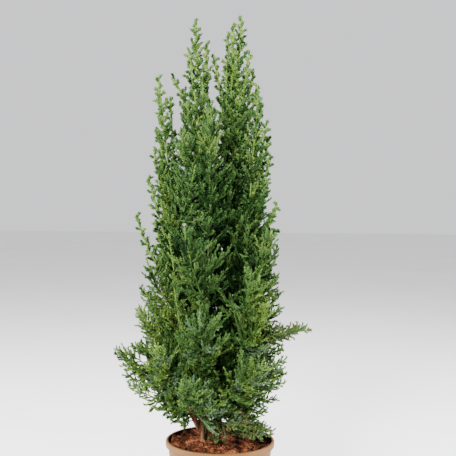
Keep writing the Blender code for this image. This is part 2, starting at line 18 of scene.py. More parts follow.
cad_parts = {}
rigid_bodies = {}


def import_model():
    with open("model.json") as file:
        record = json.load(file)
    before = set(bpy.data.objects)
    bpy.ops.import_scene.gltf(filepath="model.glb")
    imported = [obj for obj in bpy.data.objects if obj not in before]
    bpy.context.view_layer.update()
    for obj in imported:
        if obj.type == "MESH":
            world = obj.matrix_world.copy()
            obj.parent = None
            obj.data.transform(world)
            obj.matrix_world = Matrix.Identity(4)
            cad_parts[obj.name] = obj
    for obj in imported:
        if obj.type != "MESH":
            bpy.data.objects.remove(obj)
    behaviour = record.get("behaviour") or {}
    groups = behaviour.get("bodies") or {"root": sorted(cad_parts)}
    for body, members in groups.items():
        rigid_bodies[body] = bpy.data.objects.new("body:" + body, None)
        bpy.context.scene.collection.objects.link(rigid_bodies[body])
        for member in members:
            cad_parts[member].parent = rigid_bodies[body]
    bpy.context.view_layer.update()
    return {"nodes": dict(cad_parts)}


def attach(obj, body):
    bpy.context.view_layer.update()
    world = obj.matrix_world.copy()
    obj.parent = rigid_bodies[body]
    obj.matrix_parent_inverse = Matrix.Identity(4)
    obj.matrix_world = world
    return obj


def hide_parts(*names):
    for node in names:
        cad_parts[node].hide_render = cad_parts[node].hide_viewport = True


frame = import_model()

# Camera, from the photograph: a square picture of 456 pixels
IMAGE_SIZE = 456
FOCAL_PIXELS = 900
SENSOR = 36.0
CAMERA_PLACE = (0.0072, -1.05, 0.418)
CLIP_START = 0.05
HORIZON_ROW = 191
ROLL = math.radians(0.5)

# Pot and peat, as in the part's source
POT_HEIGHT = 0.126
RIM_RADIUS = 0.064
RIM_DEPTH = 0.0070
RIM_LIP = 0.0022
FOOT_RADIUS = 0.047
WALL = 0.0014
FLOOR_THICKNESS = 0.0022
DRAIN_COUNT = 6
DRAIN_RADIUS = 0.0042
DRAIN_CIRCLE = 0.034
SOIL_EDGE_HEIGHT = 0.1150
SOIL_FOOT_HEIGHT = 0.1220
CLEARANCE = 0.0003

# Trunk, stems and boughs, as in the part's source
TRUNK_PATH = (
    (-0.0180, 0.004, SOIL_FOOT_HEIGHT + CLEARANCE),
    (-0.0183, 0.004, 0.131),
    (-0.0225, 0.004, 0.155),
    (-0.0190, 0.003, 0.250),
    (-0.0160, 0.002, 0.360),
    (-0.0180, 0.003, 0.440),
    (-0.0230, 0.004, 0.485),
)
TRUNK_TIP = (-0.0326, 0.006, 0.6180)
FLARE_RADIUS = 0.0078
TRUNK_RADIUS = 0.0048
FLARE_HEIGHT = 0.007
FOOT_STEP = 0.0025
LIMB_END_RADIUS = 0.0012
TAPER_POWER = 0.8
TRUNK_POINTS = 15
# Name, parent, fork height, tip, early share of the spread, length of the plume, its half-width
STEMS = (
    ("left", "trunk", 0.1305, (-0.0750, -0.010, 0.552), 0.30, 0.165, 0.020),
    ("right", "trunk", 0.146, (0.021, 0.002, 0.621), 0.46, 0.170, 0.024),
    ("back_left", "trunk", 0.158, (-0.0466, 0.044, 0.544), 0.55, 0.180, 0.026),
    ("front", "trunk", 0.182, (-0.013, -0.036, 0.520), 0.62, 0.190, 0.029),
    ("far_right", "right", 0.205, (0.041, -0.010, 0.534), 0.55, 0.165, 0.024),
    ("back_right", "right", 0.185, (0.014, 0.050, 0.578), 0.60, 0.200, 0.028),
)
STEM_RADIUS = 0.0034
STEM_SHARE_OF_PARENT = 0.85
STEM_POINTS = 10
STEM_SPACING_POWER = 1.6
SPREAD_HEIGHT = 0.016
SPREAD_POWER = 1.25
TRUNK_PLUME_WIDTH = 0.021
# Name, parent, fork height, end, tip of its plume, half-width of the plume
BOUGHS = (
    ("low_left", "left", 0.172, (-0.071, -0.008, 0.200), (-0.123, -0.012, 0.233), 0.024),
    ("low_right", "right", 0.170, (0.032, -0.006, 0.184), (0.072, -0.010, 0.213), 0.022),
    ("side_right", "far_right", 0.228, (0.046, -0.017, 0.244), (0.102, -0.024, 0.259), 0.010),
    ("low_back", "back_left", 0.186, (-0.024, 0.048, 0.198), (-0.018, 0.092, 0.222), 0.026),
    ("low_front", "trunk", 0.170, (-0.026, -0.038, 0.182), (-0.034, -0.080, 0.204), 0.026),
)
BOUGH_RADIUS = 0.0022
BOUGH_SHARE_OF_PARENT = 0.8
BOUGH_POINTS = 7
BOUGH_BEND = (0.60, 0.35)
PLUME_BEND = (0.60, 0.30)
UPPER_BEND = (0.30, 0.50)
# Name, limb, height where it leaves the limb, tip, half-width
STRAYS = (
    ("foot_left", "left", 0.166, (-0.107, -0.022, 0.196), 0.018),
    ("foot_right", "trunk", 0.137, (0.050, -0.014, 0.140), 0.012),
    ("under_right", "right", 0.160, (0.046, 0.008, 0.163), 0.020),
    ("edge_left", "left", 0.232, (-0.098, -0.004, 0.282), 0.024),
    ("thin_left", "left", 0.300, (-0.100, -0.004, 0.391), 0.010),
    ("upper_left", "trunk", 0.458, (-0.059, 0.004, 0.552), 0.012),
    ("upper_middle", "right", 0.444, (-0.0115, 0.010, 0.578), 0.012),
    ("upper_right", "right", 0.446, (0.031, -0.012, 0.578), 0.013),
)

# Crown, as in the part's source: height, reach to the left, reach to the right
CROWN_CENTRE = (-0.008, 0.003)
CROWN_REACH = (
    (0.150, 0.050, 0.052),
    (0.176, 0.075, 0.064),
    (0.200, 0.094, 0.080),
    (0.225, 0.098, 0.079),
    (0.265, 0.093, 0.079),
    (0.310, 0.086, 0.077),
    (0.360, 0.078, 0.075),
    (0.406, 0.068, 0.067),
    (0.440, 0.066, 0.058),
    (0.470, 0.064, 0.054),
    (0.520, 0.058, 0.045),
)
RINGS = ((0.178, 4), (0.228, 4), (0.278, 4), (0.332, 4), (0.386, 4), (0.440, 4), (0.490, 2))
RING_TURN = 0.62
LOWEST_BASE = 0.152
LOW_RISE = 0.022
HIGH_RISE = 0.088
RISE_POWER = 0.6
RISE_DRAW = (0.80, 1.25)
TURN_DRAW = 0.30
TIP_DRAW = 0.014
ABOVE_FORK = 0.020
BELOW_END = 0.004
PLUME_WIDTH = 0.040
TRIES = 24
AXIS_STEPS = 6
STAND_OFF = 0.0022
WIDEST_AT_POWER = 0.60
ROUNDNESS_POWER = 0.70
OWN_LIMB_MARGIN = 0.0018
OTHER_LIMB_MARGIN = 0.0026
AXIS_MARGIN = 0.0042
SIDE_HINT = Vector((0.31, 0.17, 1.0))
GOLDEN_ANGLE = math.radians(137.508)

# Thinner shoots that the photograph shows between the plumes, by the limb that carries them, in
# millimetres: height where they leave it, X, Y and Z of the tip, half-width. The fine ones fill the
# outline, the sunny ones stand out in front of the crown, the dry ones have olive and brown leaves
# near the foot, and the pale ones hang at the trunk's foot.
SHOOTS = {
    "fine": (
        ("right", ((452, 11.5, -4, 612, 12), (440, 5, 4, 603, 10), (430, 36, 6, 560, 12))),
        ("right", ((440, 3, -4, 570, 10), (410, 40.5, -8, 543, 12))),
        ("far_right", ((366, 45, 4, 524, 11),)),
        ("trunk", ((452, -40, -6, 576, 11), (462, -19.5, 2, 592, 13))),
        ("trunk", ((468, -24.5, -6, 552, 11), (430, -43, 12, 520, 11))),
        ("left", ((352, -73.5, -6, 486, 9), (366, -61.5, 4, 528, 13), (340, -80, -4, 468, 9))),
        ("left", ((330, -72.5, 2, 456, 9), (322, -85.5, -12, 434, 12), (290, -77.5, -6, 380, 10))),
        ("left", ((276, -80, 4, 352, 12), (240, -94, -10, 306, 15), (220, -99, 4, 274, 15))),
        ("far_right", ((364, 51, -4, 500, 11), (362, 54.5, 2, 482, 9), (360, 56, -10, 458, 12))),
        ("far_right", ((340, 52, 2, 432, 12), (320, 64, -8, 404, 13), (300, 63.5, -6, 374, 14))),
        ("far_right", ((306, 60, 6, 392, 12), (290, 66.5, 4, 354, 15), (268, 66, -6, 322, 16))),
        ("far_right", ((250, 70, 6, 300, 18), (240, 71, -10, 284, 18), (238, 71, -14, 262, 18))),
        ("far_right", ((236, 71, 8, 246, 18),)),
        ("right", ((200, 73, -6, 236, 22), (190, 76.5, -14, 224, 20), (176, 76, -4, 206, 19))),
        ("right", ((172, 75.5, -14, 197, 17), (165, 68, 10, 172, 22), (158, 56, 6, 157, 21))),
        ("right", ((160, 36, 32, 154, 20),)),
        ("left", ((158, -58, -22, 157, 19), (150, -46, -20, 149, 15))),
        ("right", ((150, 45, -10, 154, 15),)),
        ("left", ((160, -48, 22, 156, 19),)),
        ("trunk", ((196, -12, -45, 230, 18), (214, -23, -42, 252, 18))),
        ("right", ((158, 6, 36, 160, 18),)),
        ("trunk", ((146, -33, 40, 158, 18),)),
        ("left", ((150, -43, 34, 160, 18), (188, -123, -20, 230, 20), (182, -116, -4, 214, 19))),
        ("left", ((176, -114, 4, 200, 18), (172, -92, -14, 187, 15), (156, -79, -18, 167, 12))),
        ("left", ((190, -95, -22, 244, 22), (187, -104, -8, 239, 17), (205, -92, 2, 258, 22))),
        ("bough_low_back", ((195.5, -16, 106, 225, 17), (196.5, -30, 100, 216, 17))),
        ("bough_low_front", ((180, -40, -94, 207, 16), (180.5, -26, -90, 199, 16))),
    ),
    "sunny": (
        ("left", ((262, -60, -34, 370, 5.6), (226, -54, -46, 318, 5.6), (205, -44, -56, 272, 5.6))),
    ),
    "dry": (
        ("right", ((158, 60, -20, 134.5, 15), (153, 50, -30, 134.5, 14), (156, 63, -6, 136, 14))),
        ("right", ((151, 56, -12, 140, 14), (156, 34, -34, 148, 16))),
        ("trunk", ((146, 30, -20, 134, 12), (143, 42, -6, 140, 13), (150, 18, -40, 150, 14))),
        ("bough_side_right", ((240, 88, -22, 266, 9), (241.5, 97, -18, 264, 9))),
    ),
    "pale": (("trunk", ((127.5, -19.5, -20, 160, 3), (126.5, 5, -22, 130, 6))),),
}
FINE_BEND = (0.45, 0.45)

# Ovals that stay open in the photograph's view, on the plane Y = 0: X, height, half-width, half-height,
# and how far back they reach. Most show sky, then three the stems at the foot and two the dark inside.
OPEN_OVALS = (
    (-0.0525, 0.5000, 0.0036, 0.0220, 1.0),
    (-0.0125, 0.5350, 0.0040, 0.0110, 1.0),
    (-0.0822, 0.1800, 0.0090, 0.0032, 1.0),
    (-0.0930, 0.2195, 0.0070, 0.0050, 1.0),
    (0.0060, 0.1485, 0.0060, 0.0045, 1.0),
    (-0.0215, 0.1330, 0.0085, 0.0085, 0.012),
    (-0.0275, 0.1450, 0.0085, 0.0085, 0.010),
    (-0.0320, 0.1540, 0.0065, 0.0065, 0.006),
    (0.0175, 0.3150, 0.0095, 0.0210, -0.022),
    (0.0160, 0.2620, 0.0060, 0.0090, -0.022),
)

# Side shoots: leans at a line's foot and tip, steps between them, and what makes slender lines airy.
# The direction of a line at a place is taken over the given share of it on both sides.
LEANS = (math.radians(60), math.radians(38))
SLENDER_LEANS = (math.radians(52), math.radians(30))
LEAN_DRAW = 0.11
TURN_SPREAD = 0.25
FACE_TILT = 0.5
PLUME_BARE = 0.06
TOPMOST_LEAF = 0.966
SLENDER_WIDTH = 0.0142
SLENDER_BULK = 1.42
SUNNY_WIDTH = 0.006
BREADTH_POWER = 1.9
SLENDER_BRANCHLETS = 0.68
BROAD_LEADER = "leader_front"
SPIRE_POWER = 0.70
DIRECTION_SPAN = 0.04
LEAST_BARE = 0.02
REACH_DRAW = (0.68, 1.08)
OUTLINE_ROUNDS = 6
INSIDE_LIMIT = 0.90
INSIDE_DRAW = (-0.10, 0.14)
SHORTEN = 0.82
SHORTEN_ROUNDS = 6
SHORTEST_SHOOT = 0.0045
LONGEST_SHOOT = 0.038
LEAST_LEFT = 0.004
SHOOT_STEP = 0.0021
SLENDER_SHOOT_STEP = 0.0039
LIMB_SHOOT_STEP = 0.0025
LOWEST_LEAF = 0.152
LIMB_COAT = 0.034
BOUGH_COAT = 0.020
BOUGH_BARE = 0.15
LIFT = 0.17
SLENDER_LIFT = 0.06
LIFT_DRAW = (0.4, 1.5)
LIMB_GAP = 0.0004
POT_GAP = 0.0012
PEAT_MARGIN = 0.004

# Branchlets and nubs: step, share of the parent's length, longest, first share of the parent
BRANCHLETS = (0.0030, 0.46, 0.0125, 0.10)
NUBS = (0.0045, 0.42, 0.0045, 0.25)
NUB_PARENT = 0.0080
SHORTEST_BRANCHLET = 0.0028
BRANCHLET_LEAN = math.radians(30)
BRANCHLET_LEAN_DRAW = 0.14
BRANCHLET_ROLL = 0.90
BRANCHLET_DRAW = (0.65, 1.2)
BRANCHLET_TAPER = 0.7
BRANCHLET_LIFT = (0.02, 0.42)
SLENDER_BRANCHLET_LIFT = 0.3

# Leaves
LEAF_STEP = 0.00122
LEAF_LENGTH = 0.0034
LEAF_HALF_WIDTH = 0.00078
LEAF_LEAN = math.radians(27)
LEAF_LEAN_DRAW = 0.08
LENGTH_DRAW = (0.80, 1.18)
WIDTH_DRAW = (0.85, 1.15)
LEAF_SINK = 0.0003
WIDEST_AT = 0.42
FOLD = 0.45
CURL = 0.05
# From this share of a twig on, leaves lean out less and are shorter, up to these shares at its tip
TIP_FROM = 0.75
TIP_LEAN_LESS = 0.55
TIP_LENGTH_LESS = 0.25
# Leaves of lines, shoots, branchlets and nubs: step as a share of the common one, first share, size
LEAF_RUNS = ((1.5, 0.0, 1.05), (1.0, 0.04, 1.0), (1.0, 0.10, 0.95), (1.0, 0.15, 0.85))
MOST_TRIANGLES = 190000

# Stalks of the plumes and twigs: steps, radii, and the share of a plume's line that is bare of leaves
STALK_STEPS = 14
STALK_HINT = (0.31, 0.87, 0.38)
THICK_STALK = 0.0010
THIN_STALK = 0.0007
PALE_STALK = 0.0016
STALK_TIP = 0.0004
THICK_STALK_FROM = 0.015
TWIG_RADIUS = 0.00072
TWIG_TAPER = 0.55
AXIS_TWIG = 0.008
BROAD_GREEN_FROM = 0.45
SLENDER_GREEN_FROM = 0.12

# Tones of the foliage, each a plain colour; shade and deep also carry the painted shade inside the crown and
# in its front middle
TONES = (
    ("fresh", (0.130, 0.210, 0.036)),
    ("bright", (0.088, 0.164, 0.036)),
    ("mid", (0.060, 0.126, 0.033)),
    ("deep", (0.032, 0.082, 0.018)),
    ("blue", (0.078, 0.134, 0.070)),
    ("shade", (0.0040, 0.018, 0.0026)),
    ("olive", (0.092, 0.105, 0.034)),
    ("bronze", (0.100, 0.072, 0.034)),
)
FRESH, BRIGHT, MID, DEEP, BLUE, SHADE, OLIVE, BRONZE = range(len(TONES))
KEEP = -1
FULL_RANGE = (DEEP, MID, BRIGHT, FRESH)
# Zones of the crown, for the painted shade inside it and in its front middle and the painted light low down
# and at its sides: how far out the inner and the outer one start, and the heights that part them
INNER_FROM = 0.40
OUTER_FROM = 0.68
SPIRES_FROM = 0.38
SPIRES_RISE = 0.14
UPPER_HEIGHT = 0.46
LOW_HEIGHT = 0.30
FOOT_HEIGHT = 0.24
MIDDLE_WIDTH = 0.042
SIDE_WIDTH = 0.056
# Dim places at the front, dealt darker tones as painted shade: X, height, half-width, half-height and three
# tones
DIM_PLACES = (
    (-0.034, 0.252, 0.026, 0.036, DEEP, MID, BLUE),
    (-0.040, 0.358, 0.024, 0.028, DEEP, SHADE, DEEP),
)
DIM_SHARES = (0.56, 0.76)
SUNNY_LEADERS = ("leader_left", "leader_trunk", "leader_right")
SUNNY_SPANS = (0.08, 0.52, 0.92)
YOUNG_SPANS = ((0.40, 0.90, 0.99), (0.24, 0.78, 0.97), (0.14, 0.66, 0.95))
OLIVE_PLUMES = ("plume_side_right", "plume_foot_right")
DARKER_FROM = 0.74
LIGHTER_SHARE = 0.29
QUIET_SHARE = 0.13


def unit(vectors):
    return vectors / np.maximum(np.linalg.norm(vectors, axis=-1, keepdims=True), 1e-12)


def towards(first, second, angle):
    """Directions turned row by row from the first ones to the second ones by an angle."""
    return first * np.cos(angle)[:, None] + second * np.sin(angle)[:, None]


# The plant's lines, by the rule of the part's source


def smooth_path(places, count):
    """Points at even shares of a smooth curve that passes through the given places."""
    places = [Vector(place) for place in places]
    ends = [places[0] * 2 - places[1], *places, places[-1] * 2 - places[-2]]
    found = []
    for i in range(count):
        along = i / (count - 1) * (len(places) - 1)
        k = min(int(along), len(places) - 2)
        u = along - k
        a, b, c, d = ends[k : k + 4]
        bend = (2 * a - 5 * b + 4 * c - d) * u**2 + (3 * b - a - 3 * c + d) * u**3
        found.append(0.5 * (2 * b + (c - a) * u + bend))
    return found


def quadratic(start, bend, end, steps):
    """Points of the curve that leaves start towards bend and comes to end from there."""
    shares = [i / steps for i in range(steps + 1)]
    return [start * (1 - u) ** 2 + bend * 2 * u * (1 - u) + end * u**2 for u in shares]


def bent(start, end, shares):
    """The point at one share of the way out and another of the way up."""
    out, up = shares
    return Vector((*start.xy.lerp(end.xy, out), start.z + (end.z - start.z) * up))


def at_height(limb, height):
    """Centre, direction and radius of a limb at a height."""
    points, radii = limb["points"], limb["radii"]
    k = max([i for i in range(len(points) - 1) if points[i].z <= height], default=0)
    u = min(max((height - points[k].z) / (points[k + 1].z - points[k].z), 0.0), 1.0)
    radius = radii[k] + (radii[k + 1] - radii[k]) * u
    return points[k].lerp(points[k + 1], u), (points[k + 1] - points[k]).normalized(), radius


def trunk_limb():
    points = smooth_path(TRUNK_PATH, TRUNK_POINTS)
    foot, top = points[0].z, points[-1].z
    points.insert(1, Vector((*points[0].xy, foot + FOOT_STEP)))
    radii = []
    for point in points:
        rise = point.z - foot
        flare = (FLARE_RADIUS - TRUNK_RADIUS) * math.exp(-rise / FLARE_HEIGHT)
        taper = (TRUNK_RADIUS - LIMB_END_RADIUS) * (rise / (top - foot)) ** TAPER_POWER
        radii.append(TRUNK_RADIUS + flare - taper)
    return {"points": points, "radii": radii}


def stem_limb(parent, fork_height, tip, early, plume_length):
    """A stem covers its early share of the way out just above the fork, and the rest towards its tip."""
    start, _, parent_radius = at_height(parent, fork_height)
    tip = Vector(tip)
    top = tip.z - plume_length
    first_radius = min(STEM_RADIUS, parent_radius * STEM_SHARE_OF_PARENT)
    points, radii = [], []
    for i in range(STEM_POINTS):
        share = (i / (STEM_POINTS - 1)) ** STEM_SPACING_POWER
        rise = (top - start.z) * share
        later = (rise / (tip.z - start.z)) ** SPREAD_POWER
        spread = early * (1 - math.exp(-rise / SPREAD_HEIGHT)) + (1 - early) * later
        points.append(Vector((*start.xy.lerp(tip.xy, spread), start.z + rise)))
        radii.append(first_radius + (LIMB_END_RADIUS - first_radius) * share**TAPER_POWER)
    return {"points": points, "radii": radii}


def bough_limb(parent, height, end):
    start, _, parent_radius = at_height(parent, height)
    end = Vector(end)
    bend = bent(start, end, BOUGH_BEND)
    first_radius = min(BOUGH_RADIUS, parent_radius * BOUGH_SHARE_OF_PARENT)
    steps = BOUGH_POINTS - 1
    radii = [first_radius + (LIMB_END_RADIUS - first_radius) * i / steps for i in range(steps + 1)]
    return {"points": quadratic(start, bend, end, steps), "radii": radii}


def limbs_of_plant():
    limbs = {"trunk": trunk_limb()}
    for name, parent, height, tip, early, plume_length, _ in STEMS:
        limbs[name] = stem_limb(limbs[parent], height, tip, early, plume_length)
    for name, parent, height, end, _, _ in BOUGHS:
        limbs[f"bough_{name}"] = bough_limb(limbs[parent], height, end)
    return limbs


def side_axis(limb, height, tip, bend=PLUME_BEND):
    """A plume's line: square off its limb at the start, out under its own weight, then up to the tip."""
    centre, along, radius = at_height(limb, height)
    tip = Vector(tip)
    out = tip - centre
    out -= along * out.dot(along)
    out.normalize()
    foot = centre + out * (radius + CLEARANCE)
    start = foot + out * STAND_OFF
    return [foot, *quadratic(start, bent(start, tip, bend), tip, AXIS_STEPS)]


def end_axis(limb, tip):
    """The line of the plume that goes on from a limb's end."""
    end = limb["points"][-1]
    along = (end - limb["points"][-2]).normalized()
    start = end + along * CLEARANCE
    bend = start + along * (Vector(tip) - start).length * 0.5
    return [start, *quadratic(start + along * STAND_OFF, bend, Vector(tip), AXIS_STEPS)]


def crown_sides(height):
    """How far the crown reaches to the left and to the right of its centre line at a height."""
    table = np.array(CROWN_REACH)
    return [np.interp(height, table[:, 0], table[:, side]) for side in (1, 2)]


def crown_edge(height, azimuth):
    """The point on the crown's outline at a height and azimuth, counted from the right towards the back."""
    left, right = crown_sides(height)
    across = (right if math.cos(azimuth) > 0 else left) * math.cos(azimuth)
    deep = (left + right) / 2 * math.sin(azimuth)
    return Vector((CROWN_CENTRE[0] + across, CROWN_CENTRE[1] + deep, height))


def crown_share(points):
    """How far out each point is: 0 on the crown's centre line, 1 on its outline."""
    away = points[:, :2] - np.array(CROWN_CENTRE)
    left, right = crown_sides(points[:, 2])
    across = np.where(away[:, 0] > 0, right, left)
    return np.hypot(away[:, 0] / across, away[:, 1] / ((left + right) / 2))


def gaps(points, axis, radii=None):
    """Distance of each point from the nearest stretch of a line, less the line's own radius there."""
    points = np.array(points)[:, None]
    a, b = np.array(axis[:-1]), np.array(axis[1:])
    along = b - a
    u = np.clip(((points - a) * along).sum(2) / (along**2).sum(1), 0.0, 1.0)
    gap = np.linalg.norm(points - (a + along * u[..., None]), axis=2)
    if radii is not None:
        gap -= np.array(radii[:-1]) + np.diff(radii) * u
    return gap.min(axis=1)


def close_points(axis):
    """The points of a line with three more between each two."""
    return [a.lerp(b, u) for a, b in zip(axis, axis[1:]) for u in (0.0, 0.25, 0.5, 0.75)] + [axis[-1]]


def is_clear(axis, limb, limbs, plumes):
    """Whether a plume's line keeps off the limbs, its own one past the start, and the other plumes."""
    for other in limbs.values():
        points = close_points(axis[1:] if other is limb else axis)
        least = OWN_LIMB_MARGIN if other is limb else OTHER_LIMB_MARGIN
        if gaps(points, other["points"], other["radii"]).min() < least:
            return False
    return all(gaps(close_points(axis), plume["axis"]).min() > AXIS_MARGIN for plume in plumes)


def reaches(limb, height):
    """Whether a plume may leave the limb at a height: well above its fork, and below its end."""
    return limb["points"][0].z + ABOVE_FORK < height < limb["points"][-1].z - BELOW_END


def ring_plumes(limbs, plumes):
    """Rings of plumes whose tips make the crown's outline, each from the limb that stands best for it."""
    stems = [limb for name, limb in limbs.items() if not name.startswith("bough")]
    for ring, (height, count) in enumerate(RINGS):
        rise = LOW_RISE + (HIGH_RISE - LOW_RISE) * (ring / (len(RINGS) - 1)) ** RISE_POWER
        for k in range(count):
            draw = random.Random(100 * ring + k)
            for _ in range(TRIES):
                azimuth = math.tau * k / count + RING_TURN * ring + draw.uniform(-TURN_DRAW, TURN_DRAW)
                tip = crown_edge(height + draw.uniform(-TIP_DRAW, TIP_DRAW), azimuth)
                base = max(tip.z - rise * draw.uniform(*RISE_DRAW), LOWEST_BASE)
                able = [s for s in stems if reaches(s, base)]
                able.sort(key=lambda s: (at_height(s, base)[0].xy - tip.xy).length)
                limb = able[min(draw.choice((0, 0, 1)), len(able) - 1)]
                axis = side_axis(limb, base, tip)
                if is_clear(axis, limb, limbs, plumes):
                    name = f"plume_{ring + 1}{'abcde'[k]}"
                    plumes.append({"name": name, "axis": axis, "width": PLUME_WIDTH, "inside": True})
                    break


def is_olive(plume):
    return plume["name"] in OLIVE_PLUMES or plume["name"].startswith("dry")


def plumes_of_plant(limbs):
    """Every plume as its name, line and half-width, with the thinner shoots between them at the end."""
    leaders = [("trunk", TRUNK_TIP, TRUNK_PLUME_WIDTH), *[(row[0], row[3], row[6]) for row in STEMS]]
    rows = [(f"leader_{name}", end_axis(limbs[name], tip), width) for name, tip, width in leaders]
    for name, _, _, _, tip, width in BOUGHS:
        rows.append((f"plume_{name}", end_axis(limbs[f"bough_{name}"], tip), width))
    for name, limb, height, tip, width in STRAYS:
        bend = UPPER_BEND if name.startswith("upper") else PLUME_BEND
        rows.append((f"plume_{name}", side_axis(limbs[limb], height, tip, bend), width))
    plumes = [{"name": name, "axis": axis, "width": width} for name, axis, width in rows]
    ring_plumes(limbs, plumes)
    for kind, runs in SHOOTS.items():
        bend = PLUME_BEND if kind == "dry" else FINE_BEND
        found = [(limb, row) for limb, rows in runs for row in rows]
        for i, (limb, row) in enumerate(found):
            height, *tip, width = (value / 1000 for value in row)
            axis = side_axis(limbs[limb], height, tip, bend)
            plumes.append({"name": f"{kind}_{i}", "axis": axis, "width": width})
    for plume in plumes:
        thin = plume["width"] < SLENDER_WIDTH and not is_olive(plume)
        plume["slender"] = thin or (plume["name"].startswith("leader") and plume["name"] != BROAD_LEADER)
        plume["bulk"] = SLENDER_BULK if plume["slender"] and plume["width"] > SUNNY_WIDTH else 1.0
    return plumes


def clothed_limbs(limbs):
    """The limbs' own lines as plumes: side shoots leave them too, all the way up from their lowest leaf."""
    found = []
    for name, limb in limbs.items():
        points = limb["points"]
        width, bare = BOUGH_COAT, BOUGH_BARE
        if not name.startswith("bough"):
            below = (LOWEST_LEAF - points[0].z) / (points[-1].z - points[0].z)
            width, bare = LIMB_COAT, max(below, LEAST_BARE)
        line = {"name": f"along_{name}", "axis": points, "width": width, "bare": bare, "bulk": 1.0}
        found.append({**line, "inside": True, "slender": False})
    return found


# Shoots, branchlets and leaves, as arrays


def line_marks(points):
    """How far along a line each of its points is, as a share."""
    steps = np.linalg.norm(np.diff(points, axis=0), axis=1)
    return np.concatenate(([0.0], np.cumsum(steps))) / steps.sum()


def along_line(axis, shares):
    """Places and directions at shares of a line, as arrays."""
    points = np.array(axis)
    marks = line_marks(points)

    def places(at):
        return np.stack([np.interp(at, marks, points[:, k]) for k in range(3)], axis=1)

    ahead, behind = np.minimum(shares + DIRECTION_SPAN, 1.0), np.maximum(shares - DIRECTION_SPAN, 0.0)
    return places(shares), unit(places(ahead) - places(behind))


def line_length(axis):
    return sum((b - a).length for a, b in zip(axis, axis[1:]))


def fullness(share):
    """Half-width of a plume along its line, as a share of the widest: soon wide, slim at the tip."""
    return np.sin(np.pi * np.clip(share, 0.02, 0.98) ** WIDEST_AT_POWER) ** ROUNDNESS_POWER


def spire(share):
    """Half-width of a leader or thin shoot along its line: widest at the foot, narrowing all the way."""
    return (1.0 - np.clip(share, 0.0, 1.0)) ** SPIRE_POWER


def twigs(start, way, length, face, lift, tone, bulk):
    """Curved twigs as a dictionary of arrays: they leave start along way and bend upwards by their lift."""
    bend = start + way * length[:, None] * 0.5
    end = start + way * length[:, None]
    end[:, 2] += lift * length
    return dict(start=start, bend=bend, end=end, face=face, length=length, tone=tone, bulk=bulk)


def chosen(shoots, keep):
    return {key: values[keep] for key, values in shoots.items()}


def joined(groups):
    return {key: np.concatenate([group[key] for group in groups]) for key in groups[0]}


def on_curve(start, bend, end, u):
    """Places and directions at shares of curved twigs."""
    place = start * (1 - u) ** 2 + bend * 2 * u * (1 - u) + end * u**2
    return place, unit((bend - start) * (1 - u) + (end - bend) * u)


def stations(shoots, step, first):
    """Even steps along twigs past their first share: twig number, count on it, share, place, direction."""
    lengths = shoots["length"]
    counts = np.maximum((lengths * (1 - first) / step).astype(int), 1)
    which = np.repeat(np.arange(len(counts)), counts)
    number = np.arange(len(which)) - np.repeat(np.cumsum(counts) - counts, counts)
    share = first + (1 - first) * (number + 0.5) / counts[which]
    ends = [shoots[key][which] for key in ("start", "bend", "end")]
    return which, number, share, *on_curve(*ends, share[:, None])


def side_shoots(plume, number, draw):
    """The side shoots of one plume, in a spiral up its line, with lengths that make its outline."""
    slender, along_limb = plume["slender"], "bare" in plume
    bare = plume.get("bare", PLUME_BARE)
    step = LIMB_SHOOT_STEP if along_limb else SLENDER_SHOOT_STEP if slender else SHOOT_STEP
    low_lean, high_lean = SLENDER_LEANS if slender else LEANS
    outline = np.ones_like if along_limb else spire if slender else fullness
    whole = line_length(plume["axis"])
    count = max(int(whole * (1 - bare) / step), 4)
    place = np.arange(count)
    share = bare + (TOPMOST_LEAF - bare) * (place + 0.5) / count
    root, along = along_line(plume["axis"], share)
    side = unit(np.cross(along, np.array(SIDE_HINT)))
    turn = GOLDEN_ANGLE * place + number + draw.normal(0, TURN_SPREAD, count)
    out = towards(side, np.cross(along, side), turn)
    lean = low_lean + (high_lean - low_lean) * share + draw.normal(0, LEAN_DRAW, count)
    reach = plume["width"] * draw.uniform(*REACH_DRAW, count) / np.sin(lean)
    length = reach * outline(share)
    for _ in range(OUTLINE_ROUNDS):
        end_share = np.minimum(share + length * np.cos(lean) / whole, 1.0)
        length = (length + reach * outline(end_share)) / 2
    length = np.clip(length, SHORTEST_SHOOT, LONGEST_SHOOT)
    way = towards(along, out, lean)
    flat = unit(np.cross(way, along))
    face = unit(np.cross(way, towards(flat, np.cross(way, flat), draw.normal(0, FACE_TILT, count))))
    if plume.get("inside"):
        limit = INSIDE_LIMIT + draw.uniform(*INSIDE_DRAW, count)
        for _ in range(SHORTEN_ROUNDS):
            outside = crown_share(root + way * length[:, None]) > limit
            length = np.where(outside, length * SHORTEN, length)
    lift = (SLENDER_LIFT if slender else LIFT) * draw.uniform(*LIFT_DRAW, count)
    tone = plume_tones(plume, root + way * length[:, None], share, draw)
    shoots = twigs(root, way, length, face, lift, tone, np.full(count, plume["bulk"]))
    return chosen(shoots, (length > LEAST_LEFT) & (plume["width"] > SHORTEST_SHOOT))


def branchlets(shoots, step, share_of_parent, longest, first, draw):
    """Branchlets on both sides of each shoot, the longest near its foot, rolled a little out of its spray."""
    which, number, share, root, along = stations(shoots, step, first)
    count = len(which)
    face, bulk = shoots["face"][which], shoots["bulk"][which]
    side = np.cross(face, along) * np.where(number % 2, 1.0, -1.0)[:, None]
    out = unit(towards(side, np.cross(along, side), draw.normal(0, BRANCHLET_ROLL, count)))
    way = towards(along, out, BRANCHLET_LEAN + draw.normal(0, BRANCHLET_LEAN_DRAW, count))
    shorter = np.where(bulk > 1, SLENDER_BRANCHLETS, 1.0)
    length = shoots["length"][which] * shorter * share_of_parent * (1.02 - share) ** BRANCHLET_TAPER
    length = np.clip(length * draw.uniform(*BRANCHLET_DRAW, count), SHORTEST_BRANCHLET, longest)
    near = unit(np.cross(way, np.cross(face, way)))
    lift = draw.uniform(*BRANCHLET_LIFT, count) * np.where(bulk > 1, SLENDER_BRANCHLET_LIFT, 1.0)
    return twigs(root, way, length, near, lift, shoots["tone"][which], bulk)


